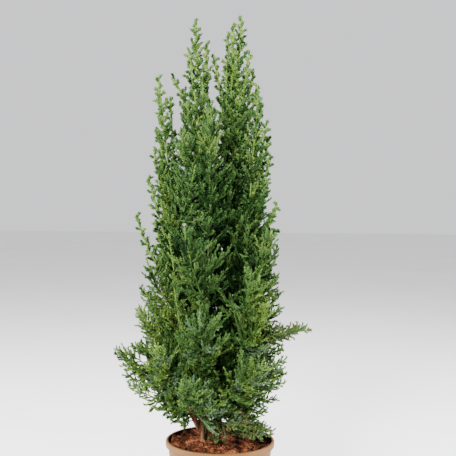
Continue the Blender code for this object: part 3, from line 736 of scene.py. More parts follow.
def dealt(pick, shares, tones):
    """A tone for each draw: each tone below its share, and the last one for the rest."""
    return np.select([pick < share for share in shares], list(tones[:-1]), tones[-1])


def plume_tones(plume, ends, share, draw):
    """A tone for each side shoot: by its plume, its height, and how far out in the crown it ends, with
    painted shade inside and in the front middle, and painted light low down and at the sides.
    """
    name, count = plume["name"], len(share)
    pick = draw.random(count)
    x, y, height = ends.T
    far = np.maximum(crown_share(ends), (height - SPIRES_FROM) / SPIRES_RISE)
    off_centre = np.abs(x - CROWN_CENTRE[0])
    middle, low, foot = off_centre < MIDDLE_WIDTH, height < LOW_HEIGHT, height < FOOT_HEIGHT
    outer, inner = far > OUTER_FROM, (far > INNER_FROM) & (far <= OUTER_FROM)
    rules = [
        # Painted shade: shoots that end inside the crown take the darkest tones, the low ones less dark.
        (far < INNER_FROM, (0.80,), (SHADE, DEEP)),
        (inner, (0.22, 0.60), (SHADE, DEEP, MID)),
        (low & inner, (0.04, 0.20, 0.64), (SHADE, DEEP, MID, BRIGHT)),
        # Painted light: low outer shoots take lighter tones, and those at the sides lighter still.
        (low & outer, (0.04, 0.19, 0.56), FULL_RANGE),
        (low & outer & (off_centre > SIDE_WIDTH), (0.30,), (FRESH, KEEP)),
        (outer & foot, (0.72,), (KEEP, BLUE)),
        # Painted shade: outer shoots in the front middle take darker tones.
        (middle & outer & (height < UPPER_HEIGHT), (0.58,), (DEEP, MID)),
        (middle & outer & foot, (0.08, 0.24, 0.58), (DEEP, MID, BRIGHT, BLUE)),
    ]
    # Painted shade: outer shoots in the dim places at the front take darker tones.
    for dim_x, dim_height, half_width, half_height, *tones in DIM_PLACES:
        dim = ((x - dim_x) / half_width) ** 2 + ((height - dim_height) / half_height) ** 2 < 1
        rules.append((dim & (y < 0) & outer, DIM_SHARES, tones))
    tone = dealt(pick, (0.24, 0.66, 0.94), FULL_RANGE)
    for where, shares, tones in rules:
        found = dealt(pick, shares, tones)
        tone = np.where(where & (found != KEEP), found, tone)
    if name.startswith(("leader", "fine", "sunny")) and name != BROAD_LEADER:
        lit = name in SUNNY_LEADERS or name.startswith("sunny")
        young = dealt(pick, SUNNY_SPANS if lit else YOUNG_SPANS[int(draw.integers(3))], FULL_RANGE)
        old = dealt(pick, (0.42, 0.88), (DEEP, MID, BRIGHT))
        tone = np.where(draw.random(count) < 0.15 + 0.95 * share, young, np.where(outer, old, tone))
    if name.startswith("dry"):
        tone = dealt(pick, (0.22, 0.64, 0.84), (MID, OLIVE, BRONZE, BLUE))
    elif is_olive(plume):
        tone = dealt(pick, (0.42, 0.92), (MID, OLIVE, BRONZE))
    if name.startswith("pale"):
        tone = dealt(pick, (0.60,), (MID, BRIGHT))
    return tone


def lighter_tips(lets, draw):
    """Some branchlets are a tone lighter than their shoot, and some a tone darker."""
    tone, height = lets["tone"], lets["end"][:, 2]
    pick = draw.random(len(tone))
    lighter, darker = np.arange(len(TONES)), np.arange(len(TONES))
    lighter[[BRIGHT, MID, DEEP, SHADE]] = [FRESH, BRIGHT, MID, DEEP]
    darker[[FRESH, BRIGHT, MID, DEEP]] = [BRIGHT, MID, DEEP, SHADE]
    middle = np.abs(lets["end"][:, 0] - CROWN_CENTRE[0]) < MIDDLE_WIDTH
    # Fewer branchlets turn lighter in the crown's middle, which keeps its painted shade, and on slender
    # shoots.
    quiet = (lets["bulk"] > 1) | (middle & (height > FOOT_HEIGHT) & (height < UPPER_HEIGHT))
    share = np.where(quiet, QUIET_SHARE, LIGHTER_SHARE)
    return np.select([pick < share, pick > DARKER_FROM], [lighter[tone], darker[tone]], tone)


def clear_of_limbs(shoots, limbs):
    """Drops each shoot whose middle or end is inside a limb."""
    keep = np.ones(len(shoots["length"]), bool)
    for limb in limbs.values():
        for key in ("bend", "end"):
            keep &= gaps(shoots[key], limb["points"], limb["radii"]) > LIMB_GAP
    return chosen(shoots, keep)


def above_pot(shoots):
    """Drops each shoot that would end in the peat or in the pot's rim."""
    away = np.hypot(shoots["end"][:, 0], shoots["end"][:, 1])
    over_peat = away < wall_radius(SOIL_EDGE_HEIGHT) - PEAT_MARGIN
    least = np.where(over_peat, SOIL_FOOT_HEIGHT, POT_HEIGHT) + POT_GAP
    return chosen(shoots, shoots["end"][:, 2] > least)


def off_gaps(shoots):
    """Drops each shoot that would hide one of the open ovals from the camera."""
    keep = np.ones(len(shoots["length"]), bool)
    eye = np.array(CAMERA_PLACE)
    for key in ("bend", "end"):
        away = shoots[key] - eye
        seen = eye + away * (-eye[1] / away[:, 1])[:, None]
        for x, z, half_width, half_height, back in OPEN_OVALS:
            off = ((seen[:, 0] - x) / half_width) ** 2 + ((seen[:, 2] - z) / half_height) ** 2
            keep &= (off > 1) | (shoots[key][:, 1] > back)
    return chosen(shoots, keep)


def axis_twigs(plumes):
    """The outer stretch of each plume's own line as short twigs, for the leaves that it carries."""
    groups = []
    for plume in plumes:
        green = BROAD_GREEN_FROM if plume["width"] > SLENDER_WIDTH else SLENDER_GREEN_FROM
        steps = max(int(line_length(plume["axis"]) / AXIS_TWIG), 2)
        place, way = along_line(plume["axis"], np.linspace(green, TOPMOST_LEAF, steps + 1))
        start, end = place[:-1], place[1:]
        length = np.linalg.norm(end - start, axis=1)
        face = unit(np.cross(way[:-1], np.array(SIDE_HINT)))
        tone = BLUE if plume["name"].startswith("pale") else OLIVE if is_olive(plume) else FRESH
        line = {"start": start, "bend": (start + end) / 2, "end": end, "face": face, "length": length}
        groups.append({**line, "tone": np.full(steps, tone), "bulk": np.full(steps, plume["bulk"])})
    return joined(groups)


def leaf_arrays(shoots, step, first, size, draw):
    """Pairs of pointed leaves up each twig, every pair turned a quarter from the last one.

    Returns the corners, four to a leaf, and the tone of each leaf.
    """
    which, number, share, root, along = stations(shoots, step, first)
    side = unit(np.cross(along, shoots["face"][which]))
    other = np.cross(along, side)
    turned = (number % 2)[:, None].astype(bool)
    out, across = np.where(turned, side, other), np.where(turned, other, side)
    count = len(which)
    tip_share = np.clip((share - TIP_FROM) / (1 - TIP_FROM), 0.0, 1.0)
    breadth = size * shoots["bulk"][which] ** BREADTH_POWER
    size = size * shoots["bulk"][which]
    foot = root - along * LEAF_SINK
    corners = []
    for sign in (1.0, -1.0):
        lean = (LEAF_LEAN + draw.normal(0, LEAF_LEAN_DRAW, count)) * (1 - TIP_LEAN_LESS * tip_share)
        length = LEAF_LENGTH * size * draw.uniform(*LENGTH_DRAW, count) * (1 - TIP_LENGTH_LESS * tip_share)
        way = towards(along, sign * out, lean)
        lifted = towards(sign * out, -along, lean)
        half = (LEAF_HALF_WIDTH * breadth * draw.uniform(*WIDTH_DRAW, count))[:, None]
        length = length[:, None]
        middle = root + way * length * WIDEST_AT - lifted * half * FOLD
        tip = root + way * length + lifted * length * CURL
        corners.append(np.stack([foot, middle + across * half, tip, middle - across * half], axis=1))
    tones = shoots["tone"][which]
    return np.concatenate(corners), np.concatenate([tones, tones])


def foliage(plumes, limbs, materials):
    """All the green: side shoots, branchlets and nubs, their stems and their leaves."""
    draw = np.random.default_rng(7)
    lines = plumes + clothed_limbs(limbs)
    shoots = joined([side_shoots(plume, number, draw) for number, plume in enumerate(lines)])
    shoots = off_gaps(above_pot(clear_of_limbs(shoots, limbs)))
    lets = off_gaps(above_pot(branchlets(shoots, *BRANCHLETS, draw)))
    lets["tone"] = lighter_tips(lets, draw)
    long_ones = chosen(lets, lets["length"] > NUB_PARENT)
    nubs = off_gaps(above_pot(branchlets(long_ones, *NUBS, draw)))
    made = []
    for bearers, (step, *run) in zip((axis_twigs(plumes), shoots, lets, nubs), LEAF_RUNS):
        made.append(leaf_arrays(bearers, LEAF_STEP * step, *run, draw))
    corners, tones = zip(*made)
    pieces = leaf_pieces(np.concatenate(corners), np.concatenate(tones), materials)
    return pieces + stem_pieces(plumes, shoots, lets, materials)


# Meshes


def placed(name, data):
    """An object of the scene for a mesh, a light or a camera."""
    made = bpy.data.objects.new(name, data)
    bpy.context.scene.collection.objects.link(made)
    return made


def mesh_of(name, vertices, faces, material, smooth=False):
    """A mesh object from arrays of vertices and of faces with equal numbers of corners."""
    mesh = bpy.data.meshes.new(name)
    faces = np.asarray(faces, np.int32)
    mesh.vertices.add(len(vertices))
    mesh.vertices.foreach_set("co", np.asarray(vertices, np.float32).ravel())
    mesh.loops.add(faces.size)
    mesh.loops.foreach_set("vertex_index", faces.ravel())
    mesh.polygons.add(len(faces))
    mesh.polygons.foreach_set("loop_start", np.arange(0, faces.size, faces.shape[1], dtype=np.int32))
    mesh.update(calc_edges=True)
    mesh.materials.append(material)
    if smooth:
        mesh.shade_smooth()
    return placed(name, mesh)


def ring_quads(index, order=(0, 1, 2, 3)):
    """Quads between neighbouring rows of a grid of vertex numbers, each row closed on itself."""
    low, high = index[..., :-1, :], index[..., 1:, :]
    corners = np.stack([low, np.roll(low, -1, -1), np.roll(high, -1, -1), high], axis=-1)
    return corners.reshape(-1, 4)[:, order]


def halved(quads):
    """Two triangles for each quad."""
    return np.concatenate([quads[:, [0, 1, 2]], quads[:, [0, 2, 3]]])


def fan(ring, centre):
    """Triangles from a closed ring of vertex numbers to one centre."""
    return np.stack([np.full(len(ring), centre), ring, np.roll(ring, -1)], axis=1)


def leaf_pieces(corners, tones, materials):
    """Leaves of two triangles folded along the midrib, one piece or more for each tone."""
    pieces = []
    for number, (name, _) in enumerate(TONES):
        mine = corners[tones == number]
        parts = max(math.ceil(len(mine) * 2 / MOST_TRIANGLES), 1)
        for k, part in enumerate(np.array_split(mine, parts)):
            faces = halved(np.arange(4 * len(part)).reshape(-1, 4))
            title = f"leaves_{name}" + (f"_{k + 1}" if parts > 1 else "")
            pieces.append(mesh_of(title, part.reshape(-1, 3), faces, materials[name]))
    return pieces


def twig_tubes(start, bend, end, thick, thin, segments, sides):
    """Tapering tubes along curved twigs, as vertices and triangles."""
    u = np.linspace(0, 1, segments + 1)[None, :, None]
    centre, way = on_curve(start[:, None], bend[:, None], end[:, None], u)
    side = unit(np.cross(way, np.array(STALK_HINT)))
    other = np.cross(way, side)
    share = u[0, :, 0]
    radius = (thick[:, None] * (1 - share) + thin[:, None] * share)[..., None, None]
    turn = np.linspace(0, math.tau, sides, endpoint=False)[None, None, :, None]
    ring = centre[:, :, None] + radius * (side[:, :, None] * np.cos(turn) + other[:, :, None] * np.sin(turn))
    index = np.arange(len(start) * (segments + 1) * sides).reshape(len(start), segments + 1, sides)
    return ring.reshape(-1, 3), halved(ring_quads(index))


def stem_pieces(plumes, shoots, lets, materials):
    """Stems of the plumes, the side shoots and the branchlets: woody inside, green outside."""
    tubes = {"twig": [], "rachis": [], "green_stem": [], "shaded_stem": []}
    for plume in plumes:
        place, _ = along_line(plume["axis"], np.linspace(0, 1, STALK_STEPS + 1))
        start, end = place[:-1], place[1:]
        pale = plume["name"].startswith("pale")
        first = PALE_STALK if pale else THICK_STALK if plume["width"] > THICK_STALK_FROM else THIN_STALK
        radius = np.linspace(first, STALK_TIP, STALK_STEPS + 1)
        middle = (start + end) / 2
        outer = "shaded_stem" if pale else "rachis" if plume["slender"] else "green_stem"
        cut = 1 if plume["slender"] else 2
        for kind, part in (("twig", slice(0, cut)), (outer, slice(cut, STALK_STEPS))):
            line = (rows[part] for rows in (start, middle, end, radius[:-1], radius[1:]))
            tubes[kind].append(twig_tubes(*line, segments=1, sides=6))
    for group, segments in ((shoots, 2), (lets, 1)):
        # Stems of shoots in the shade and deep tones take the darker shaded colour, which carries the crown's
        # painted shade.
        dark = np.isin(group["tone"], (SHADE, DEEP))
        for kind, keep in (("green_stem", ~dark), ("shaded_stem", dark)):
            line = [group[key][keep] for key in ("start", "bend", "end")]
            thick = np.full(keep.sum(), TWIG_RADIUS)
            tubes[kind].append(twig_tubes(*line, thick, thick * TWIG_TAPER, segments, 3))
    titles = {"twig": "twigs", "rachis": "rachises"}
    pieces = []
    for kind, found in tubes.items():
        for k, (vertices, faces) in enumerate(packed_tubes(found)):
            title = f"{titles.get(kind, kind + 's')}_{k + 1}"
            pieces.append(mesh_of(title, vertices, faces, materials[kind], smooth=True))
    return pieces


def packed_tubes(tubes):
    """Tubes joined into as few meshes as the limit on triangles allows."""
    batch, size = [], 0
    for vertices, faces in tubes:
        if batch and size + len(faces) > MOST_TRIANGLES:
            yield merged(batch)
            batch, size = [], 0
        batch.append((vertices, faces))
        size += len(faces)
    yield merged(batch)


def merged(batch):
    offsets = np.cumsum([0] + [len(vertices) for vertices, _ in batch[:-1]])
    faces = [faces + offset for (_, faces), offset in zip(batch, offsets)]
    return np.concatenate([vertices for vertices, _ in batch]), np.concatenate(faces)


# Bark: sizes of the mesh, heights of the relief as shares of the limb's radius, and its plates and
# fibres, by how dense they are across and along
YOUNG_BARK_HEIGHT = 0.190
TRUNK_MESH = (0.0010, 28)
LIMB_MESH = (0.0014, 18)
STEM_RELIEF = 0.16
BOUGH_RELIEF = 0.10
ROUGH_FROM = 0.003
RING_HINT = (0.2, 0.9, 0.1)
PLATES = (420, 70)
FIBRES = (1300, 160)


def streaks(spot, across, along):
    return noise.noise(Vector((spot.x * across, spot.y * across, spot.z * along)))


def swept(points, radii, ring_step, sides, relief):
    """A limb with its bark's relief: rings along a smooth line, with caps at both ends."""
    marks = np.linspace(0, 1, max(int(line_length(points) / ring_step), 4))
    centre, along = along_line(points, marks)
    radius = np.interp(marks, line_marks(np.array(points)), radii)
    vertices = []
    side = np.cross(along[0], RING_HINT)
    for place, way, size in zip(centre, along, radius):
        side = unit(side - way * side.dot(way))
        other = np.cross(way, side)
        for k in range(sides):
            turn = math.tau * k / sides
            out = side * math.cos(turn) + other * math.sin(turn)
            spot = Vector(place + out * size)
            fibre = streaks(spot, *FIBRES)
            height = relief * (0.75 * streaks(spot, *PLATES) + 0.35 * fibre - 0.25 * abs(fibre))
            vertices.append(place + out * size * (1 + height))
    index = np.arange(len(marks) * sides).reshape(len(marks), sides)
    foot, top = len(vertices), len(vertices) + 1
    caps = [fan(index[0], foot)[:, ::-1], fan(index[-1], top)[:, [1, 2, 0]]]
    return np.array(vertices + [centre[0], centre[-1]]), np.concatenate([halved(ring_quads(index)), *caps])


def bark_pieces(limbs, materials):
    pieces = []
    for name, limb in limbs.items():
        mesh = TRUNK_MESH if name == "trunk" else LIMB_MESH
        relief = STEM_RELIEF if limb["radii"][0] > ROUGH_FROM else BOUGH_RELIEF
        vertices, faces = swept(limb["points"], limb["radii"], *mesh, relief)
        node = f"stem_{name}" if name in {row[0] for row in STEMS} else name
        piece = mesh_of(f"bark_{name}", vertices, faces, materials["bark"], smooth=True)
        piece.data.materials.append(materials["young_bark"])
        young = vertices[faces].mean(axis=1)[:, 2] > YOUNG_BARK_HEIGHT
        piece.data.polygons.foreach_set("material_index", young.astype(np.int32))
        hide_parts(node)
        pieces.append(piece)
    return pieces


# Pot and peat: peat stain with painted shade on the wall, bank of peat along it, and the mesh of both
STAIN_AND_SHADE_SPREAD = 0.004
STAIN_AND_SHADE_DROP = 0.0022
BANK_START = 0.76
BANK_HEIGHT = 0.0072
BANK_WAVES = (60, 5.5)
POT_STEPS = 144
CENTRE_HOLE = 0.0001
FLOOR_MARGIN = 0.003
FLOOR_ROUND = 0.002
INNER_WALL_FROM = 0.010
RIM_INSET = 0.0001
RIM_EDGE = 0.0012
RIM_ROUND = 0.0008
RIM_ROUND_INSET = 0.0009
UNDER_RIM = (0.0003, 0.0006)
OUTER_WALL_TO = 0.004
FOOT_ROUND = 0.0012
FOOT_INSET = 0.0010
FOOT_RING = 0.0125
FOOT_LEDGE = 0.0010
FOOT_STEP_IN = 0.0005
FOOT_TOE = (0.0004, 0.0020)
FOOT_INSIDE = 0.040
DISH_RADIUS = 0.0385
DISH = 0.0006
DRAIN_DEPTH = 0.012
SHARP_ANGLE = math.radians(35)
SOIL_RINGS = 64
SOIL_STEPS = 200
FLAT_AROUND_TRUNK = 0.012
# Order of a quad's corners that turns its face outward
OUTWARD = (0, 3, 2, 1)
# Name, count, smallest and largest of what is strewn over the peat
CRUMBS = (
    ("crumbs_dark", 1100, 0.0006, 0.0018),
    ("crumbs_red", 1500, 0.0006, 0.0024),
    ("chips", 300, 0.0009, 0.0030),
)
CRUMB_WIDTH = (0.4, 0.9)
CRUMB_HEIGHT = (0.3, 0.7)
CORNER_DRAW = (0.7, 1.3)
CRUMB_TILT = 0.5
CRUMB_RISE = 0.15
CRUMB_MARGIN = 0.002
FIBRE_COUNT = 620
FIBRE_LENGTH = (0.003, 0.012)
FIBRE_CURL = (-0.4, 0.4)
FIBRE_RADIUS = (0.00012, 0.00026)
FIBRE_TAPER = 0.6
FIBRE_LIFTS = (0.0002, 0.0010, 0.0003)
FIBRE_MARGINS = (0.006, 0.001)
# The peat's lumps and its grains: how dense, level of the noise, height
LUMPS = ((62, 3.1, 0.0056), (190, 8.7, 0.0024))
GRAINS = (800, 1.9, 0.0006)


def wall_radius(height):
    return FOOT_RADIUS + (RIM_RADIUS - RIM_LIP - FOOT_RADIUS) * height / POT_HEIGHT


def arc(centre, radius, start, end, steps):
    """Points of a stretch of a circle, with angles in degrees from the outward radius."""
    angles = [math.radians(start + (end - start) * i / steps) for i in range(steps + 1)]
    return [(centre[0] + radius * math.cos(a), centre[1] + radius * math.sin(a)) for a in angles]


def on_circle(radius, turn):
    return radius * math.cos(turn), radius * math.sin(turn)


def make_pot(material):
    """Thin cup with a rolled rim, a step under it, a raised ring round the foot and drain holes."""
    under = POT_HEIGHT - RIM_DEPTH
    lip = WALL + RIM_LIP
    inner = wall_radius(FLOOR_THICKNESS) - WALL
    profile = [(CENTRE_HOLE, FLOOR_THICKNESS), (inner - FLOOR_MARGIN, FLOOR_THICKNESS)]
    profile += arc((inner - FLOOR_ROUND, FLOOR_THICKNESS + FLOOR_ROUND), FLOOR_ROUND, -90, 0, 4)
    profile += [(wall_radius(h) - WALL, h) for h in np.linspace(INNER_WALL_FROM, POT_HEIGHT - lip, 12)]
    profile += arc((RIM_RADIUS - lip / 2, POT_HEIGHT - lip / 2), lip / 2, 180, 0, 12)
    profile += [(RIM_RADIUS - RIM_INSET, under + RIM_EDGE)]
    profile += arc((RIM_RADIUS - RIM_ROUND_INSET, under + RIM_ROUND), RIM_ROUND, 0, -90, 4)
    profile += [(wall_radius(under) + UNDER_RIM[0], under), (wall_radius(under), under - UNDER_RIM[1])]
    profile += [(wall_radius(h), h) for h in np.linspace(under - OUTER_WALL_TO, FOOT_RING + FOOT_LEDGE, 14)]
    profile += [(wall_radius(0.012) - FOOT_STEP_IN, FOOT_RING), (FOOT_RADIUS + FOOT_TOE[0], FOOT_TOE[1])]
    profile += arc((FOOT_RADIUS - FOOT_INSET, FOOT_ROUND), FOOT_ROUND, 0, -90, 4)
    profile += [(FOOT_INSIDE, 0.0), (DISH_RADIUS, DISH), (CENTRE_HOLE, DISH)]
    rings = np.array(profile)
    turn = np.linspace(0, math.tau, POT_STEPS, endpoint=False)
    radii, heights = rings[:, 0, None], np.repeat(rings[:, 1, None], POT_STEPS, axis=1)
    vertices = np.stack([radii * np.cos(turn), radii * np.sin(turn), heights], axis=-1).reshape(-1, 3)
    index = np.arange(heights.size).reshape(heights.shape)
    pot = mesh_of("pot_shell", vertices, ring_quads(index, OUTWARD), material)
    bm = bmesh.new()
    bm.from_mesh(pot.data)
    bmesh.ops.remove_doubles(bm, verts=bm.verts, dist=0.00002)
    bmesh.ops.recalc_face_normals(bm, faces=bm.faces)
    bm.to_mesh(pot.data)
    bm.free()
    return cut_drains(pot)


def cut_drains(pot):
    """Round drain holes through the floor, by one Boolean that is applied."""
    helpers = bpy.data.collections.new("drains")
    bpy.context.scene.collection.children.link(helpers)
    for k in range(DRAIN_COUNT):
        place = (*on_circle(DRAIN_CIRCLE, math.tau * (k + 0.5) / DRAIN_COUNT), 0.001)
        size = {"vertices": 32, "radius": DRAIN_RADIUS, "depth": DRAIN_DEPTH}
        bpy.ops.mesh.primitive_cylinder_add(**size, location=place)
        hole = bpy.context.object
        for collection in list(hole.users_collection):
            collection.objects.unlink(hole)
        helpers.objects.link(hole)
    cut = pot.modifiers.new("drains", "BOOLEAN")
    cut.operation = "DIFFERENCE"
    cut.operand_type = "COLLECTION"
    cut.collection = helpers
    bpy.context.view_layer.update()
    made = bpy.data.meshes.new_from_object(pot.evaluated_get(bpy.context.evaluated_depsgraph_get()))
    pot.modifiers.clear()
    pot.data = made
    for hole in list(helpers.objects):
        bpy.data.objects.remove(hole, do_unlink=True)
    bpy.data.collections.remove(helpers)
    made.shade_smooth()
    made.set_sharp_from_angle(angle=SHARP_ANGLE)
    return pot


def bumps(x, y, scale, level, height=1.0):
    return noise.noise(Vector((x * scale, y * scale, level))) * height


def soil_height(x, y):
    """Height of the peat: up to the trunk's foot, with lumps of two sizes and a bank along the wall."""
    edge = wall_radius(SOIL_EDGE_HEIGHT) - WALL
    away = math.hypot(x - TRUNK_PATH[0][0], y - TRUNK_PATH[0][1])
    fall = min(max((away - FLAT_AROUND_TRUNK) / (edge - FLAT_AROUND_TRUNK), 0.0), 1.0)
    lumps = sum(bumps(x, y, *row) for row in LUMPS)
    base = SOIL_FOOT_HEIGHT - (SOIL_FOOT_HEIGHT - SOIL_EDGE_HEIGHT) * 0.9 * fall**0.9
    near_wall = max(math.hypot(x, y) / edge - BANK_START, 0.0) / (1 - BANK_START)
    bank = BANK_HEIGHT * near_wall**2 * (0.75 + 0.5 * bumps(x, y, *BANK_WAVES))
    return base + lumps * min(fall * 4, 1.0) + bumps(x, y, *GRAINS) + bank


def make_soil(material):
    """The peat's surface in fine rings, with its side and underside inside the pot."""
    edge = wall_radius(SOIL_EDGE_HEIGHT) - WALL - 2 * CLEARANCE
    low = FLOOR_THICKNESS + CLEARANCE
    foot = wall_radius(low) - WALL - 2 * CLEARANCE
    turns = np.linspace(0, math.tau, SOIL_STEPS, endpoint=False)
    vertices = [(0.0, 0.0, soil_height(0, 0))]
    for radius in edge * (np.linspace(0, 1, SOIL_RINGS + 1)[1:]) ** 0.9:
        spots = [on_circle(radius, turn) for turn in turns]
        vertices += [(x, y, soil_height(x, y)) for x, y in spots]
    vertices += [(*on_circle(foot, turn), low) for turn in turns]
    vertices.append((0.0, 0.0, low))
    index = 1 + np.arange((SOIL_RINGS + 1) * SOIL_STEPS).reshape(SOIL_RINGS + 1, SOIL_STEPS)
    under = fan(index[-1], len(vertices) - 1)[:, [0, 2, 1]]
    faces = np.concatenate([halved(ring_quads(index, OUTWARD)), fan(index[0], 0), under])
    return mesh_of("peat", vertices, faces, material, smooth=True)


def drawn_spot(limit, draw):
    """A place on the peat, drawn evenly over its area."""
    share = math.sqrt(draw.random())
    return on_circle(limit * share, draw.uniform(0, math.tau))


def make_chips(materials):
    """Crumbs, bark chips and coir fibres strewn over the peat."""
    draw = np.random.default_rng(21)
    edge = wall_radius(SOIL_EDGE_HEIGHT) - WALL
    base = np.array([(1, 0, 0), (-1, 0, 0), (0, 1, 0), (0, -1, 0), (0, 0, 1), (0, 0, -1)], float)
    sides = np.array([(0, 2, 4), (2, 1, 4), (1, 3, 4), (3, 0, 4), (2, 0, 5), (1, 2, 5), (3, 1, 5), (0, 3, 5)])
    pieces = []
    for name, count, small, large in CRUMBS:
        vertices = []
        for _ in range(count):
            x, y = drawn_spot(edge - CRUMB_MARGIN, draw)
            size = draw.uniform(small, large)
            shape = base * (size, size * draw.uniform(*CRUMB_WIDTH), size * draw.uniform(*CRUMB_HEIGHT))
            shape = shape * draw.uniform(*CORNER_DRAW, (6, 1))
            turned = Matrix.Rotation(draw.uniform(0, math.tau), 3, "Z")
            turned = turned @ Matrix.Rotation(draw.normal(0, CRUMB_TILT), 3, "X")
            vertices.append(shape @ np.array(turned).T + (x, y, soil_height(x, y) + size * CRUMB_RISE))
        faces = (6 * np.arange(count)[:, None, None] + sides).reshape(-1, 3)
        pieces.append(mesh_of(name, np.concatenate(vertices), faces, materials[name]))
    return pieces + [make_fibres(materials["fibre"], edge, draw)]


def make_fibres(material, edge, draw):
    limit = edge - FIBRE_MARGINS[1]
    start = np.array([drawn_spot(edge - FIBRE_MARGINS[0], draw) for _ in range(FIBRE_COUNT)])
    turn = draw.uniform(0, math.tau, FIBRE_COUNT)
    length = draw.uniform(*FIBRE_LENGTH, FIBRE_COUNT)
    way = np.stack([np.cos(turn), np.sin(turn)], axis=1) * length[:, None]
    side = np.stack([-way[:, 1], way[:, 0]], axis=1) * draw.uniform(*FIBRE_CURL, FIBRE_COUNT)[:, None]
    end = start + way
    far = np.linalg.norm(end, axis=1, keepdims=True)
    end = np.where(far > limit, end * limit / far, end)
    bend = (start + end) / 2 + side
    line = []
    for points, lift in zip((start, bend, end), FIBRE_LIFTS):
        line.append(np.column_stack([points, [soil_height(x, y) + lift for x, y in points]]))
    radius = draw.uniform(*FIBRE_RADIUS, FIBRE_COUNT)
    return mesh_of("fibres", *twig_tubes(*line, radius, radius * FIBRE_TAPER, 5, 3), material)


# Materials
LEAF_GLOSS = (0.5, 0.09)
LEAF_PATCHES = (900, 2)
LEAF_ROUGHNESS = (0.50, 0.75)


def add_node(tree, kind, inputs, **settings):
    """A shader node whose inputs are plain values or other nodes' outputs. Returns the node."""
    node = tree.nodes.new(f"ShaderNode{kind}")
    for key, value in settings.items():
        setattr(node, key, value)
    feed(tree, node, inputs)
    return node


def feed(tree, node, inputs):
    """Sets a node's inputs, each by a plain value or by a link from another node's output."""
    for key, value in inputs.items():
        if isinstance(value, bpy.types.NodeSocket):
            tree.links.new(value, node.inputs[key])
        else:
            node.inputs[key].default_value = value


def node_material(name, roughness, specular=0.5):
    material = bpy.data.materials.new(name)
    material.use_nodes = True
    shader = material.node_tree.nodes["Principled BSDF"]
    gloss = {"Roughness": roughness, "Metallic": 0.0, "Specular IOR Level": specular}
    feed(material.node_tree, shader, gloss)
    return material, material.node_tree, shader


def add_noise(tree, scale, detail, stretch=(1.0, 1.0, 1.0)):
    place = add_node(tree, "TexCoord", {}).outputs["Object"]
    mapped = add_node(tree, "Mapping", {"Vector": place, "Scale": stretch}).outputs["Vector"]
    return add_node(tree, "TexNoise", {"Vector": mapped, "Scale": scale, "Detail": detail}).outputs["Fac"]


def add_ramp(tree, source, stops):
    ramp = add_node(tree, "ValToRGB", {"Fac": source})
    while len(ramp.color_ramp.elements) < len(stops):
        ramp.color_ramp.elements.new(0.5)
    for element, (place, colour) in zip(ramp.color_ramp.elements, stops):
        element.position = place
        element.color = (*colour, 1.0)
    return ramp.outputs["Color"]


def add_bump(tree, shader, source, distance, strength):
    bump = add_node(tree, "Bump", {"Height": source, "Distance": distance, "Strength": strength})
    feed(tree, shader, {"Normal": bump.outputs["Normal"]})


def add_roughness(tree, shader, source, low, high):
    spread = add_node(tree, "MapRange", {"Value": source, "To Min": low, "To Max": high})
    feed(tree, shader, {"Roughness": spread.outputs["Result"]})


def add_math(tree, operation, *values):
    return add_node(tree, "Math", dict(enumerate(values)), operation=operation).outputs["Value"]


def leaf_material(name, colour):
    """Waxy scale leaves in one plain colour, with a slightly uneven gloss."""
    material, tree, shader = node_material(name, *LEAF_GLOSS)
    feed(tree, shader, {"Base Color": (*colour, 1.0)})
    add_roughness(tree, shader, add_noise(tree, *LEAF_PATCHES), *LEAF_ROUGHNESS)
    return material


# Rough matter: roughness, specular level, noise of its colour, places of the colours, noise of its
# relief where that is another one, and the relief's depth and strength
BARK = (0.85, 0.12, (300, 6, (1.0, 1.0, 0.22)), (0.36, 0.50, 0.68), None, (0.0006, 0.8))
TWIG = (0.8, 0.5, (300, 3, (1.0, 1.0, 0.4)), (0.35, 0.65), None, (0.0002, 0.5))
PEAT = (0.95, 0.08, (75, 8), (0.38, 0.52, 0.66), (1500, 4), (0.0007, 0.9))
# Their colours, from dark to light
ROUGH_COLOURS = {
    "bark": (BARK, (0.014, 0.006, 0.003), (0.080, 0.031, 0.013), (0.150, 0.068, 0.028)),
    "young_bark": (BARK, (0.014, 0.014, 0.006), (0.030, 0.034, 0.012), (0.060, 0.070, 0.024)),
    "twig": (TWIG, (0.026, 0.025, 0.010), (0.066, 0.064, 0.025)),
    "peat": (PEAT, (0.004, 0.0016, 0.001), (0.056, 0.0170, 0.0075), (0.225, 0.070, 0.032)),
    "crumbs_dark": (PEAT, (0.004, 0.0015, 0.001), (0.018, 0.005, 0.002), (0.070, 0.018, 0.006)),
    "crumbs_red": (PEAT, (0.020, 0.007, 0.003), (0.125, 0.036, 0.015), (0.280, 0.090, 0.042)),
    "chips": (PEAT, (0.030, 0.011, 0.005), (0.115, 0.044, 0.020), (0.210, 0.094, 0.044)),
    "fibre": (PEAT, (0.050, 0.016, 0.006), (0.150, 0.052, 0.018), (0.260, 0.110, 0.042)),
}
STEM_COLOURS = {
    "green_stem": (0.055, 0.115, 0.022),
    "shaded_stem": (0.010, 0.025, 0.0065),
    "rachis": (0.115, 0.205, 0.036),
}
MOTTLE = (55, 6)
TURNING_LINES = (700, 3, (0.05, 0.05, 1.0))
STAIN_AND_SHADE_PATCHES = (120, 4)
PLASTIC_STOPS = ((0.30, (0.104, 0.045, 0.0120)), (0.70, (0.132, 0.059, 0.0165)))
# Near-black peat stain together with painted shade on the inner wall
STAIN_AND_SHADE_COLOUR = (0.007, 0.003, 0.002, 1.0)
PLASTIC_GLOSS = 0.18
PLASTIC_RELIEF = (0.00012, 0.35)
PLASTIC_ROUGHNESS = (0.50, 0.66)


def rough_material(name, kind, *colours):
    roughness, specular, patches, places, grain, relief = kind
    material, tree, shader = node_material(name, roughness, specular)
    source = add_noise(tree, *patches)
    feed(tree, shader, {"Base Color": add_ramp(tree, source, list(zip(places, colours)))})
    add_bump(tree, shader, add_noise(tree, *grain) if grain else source, *relief)
    return material


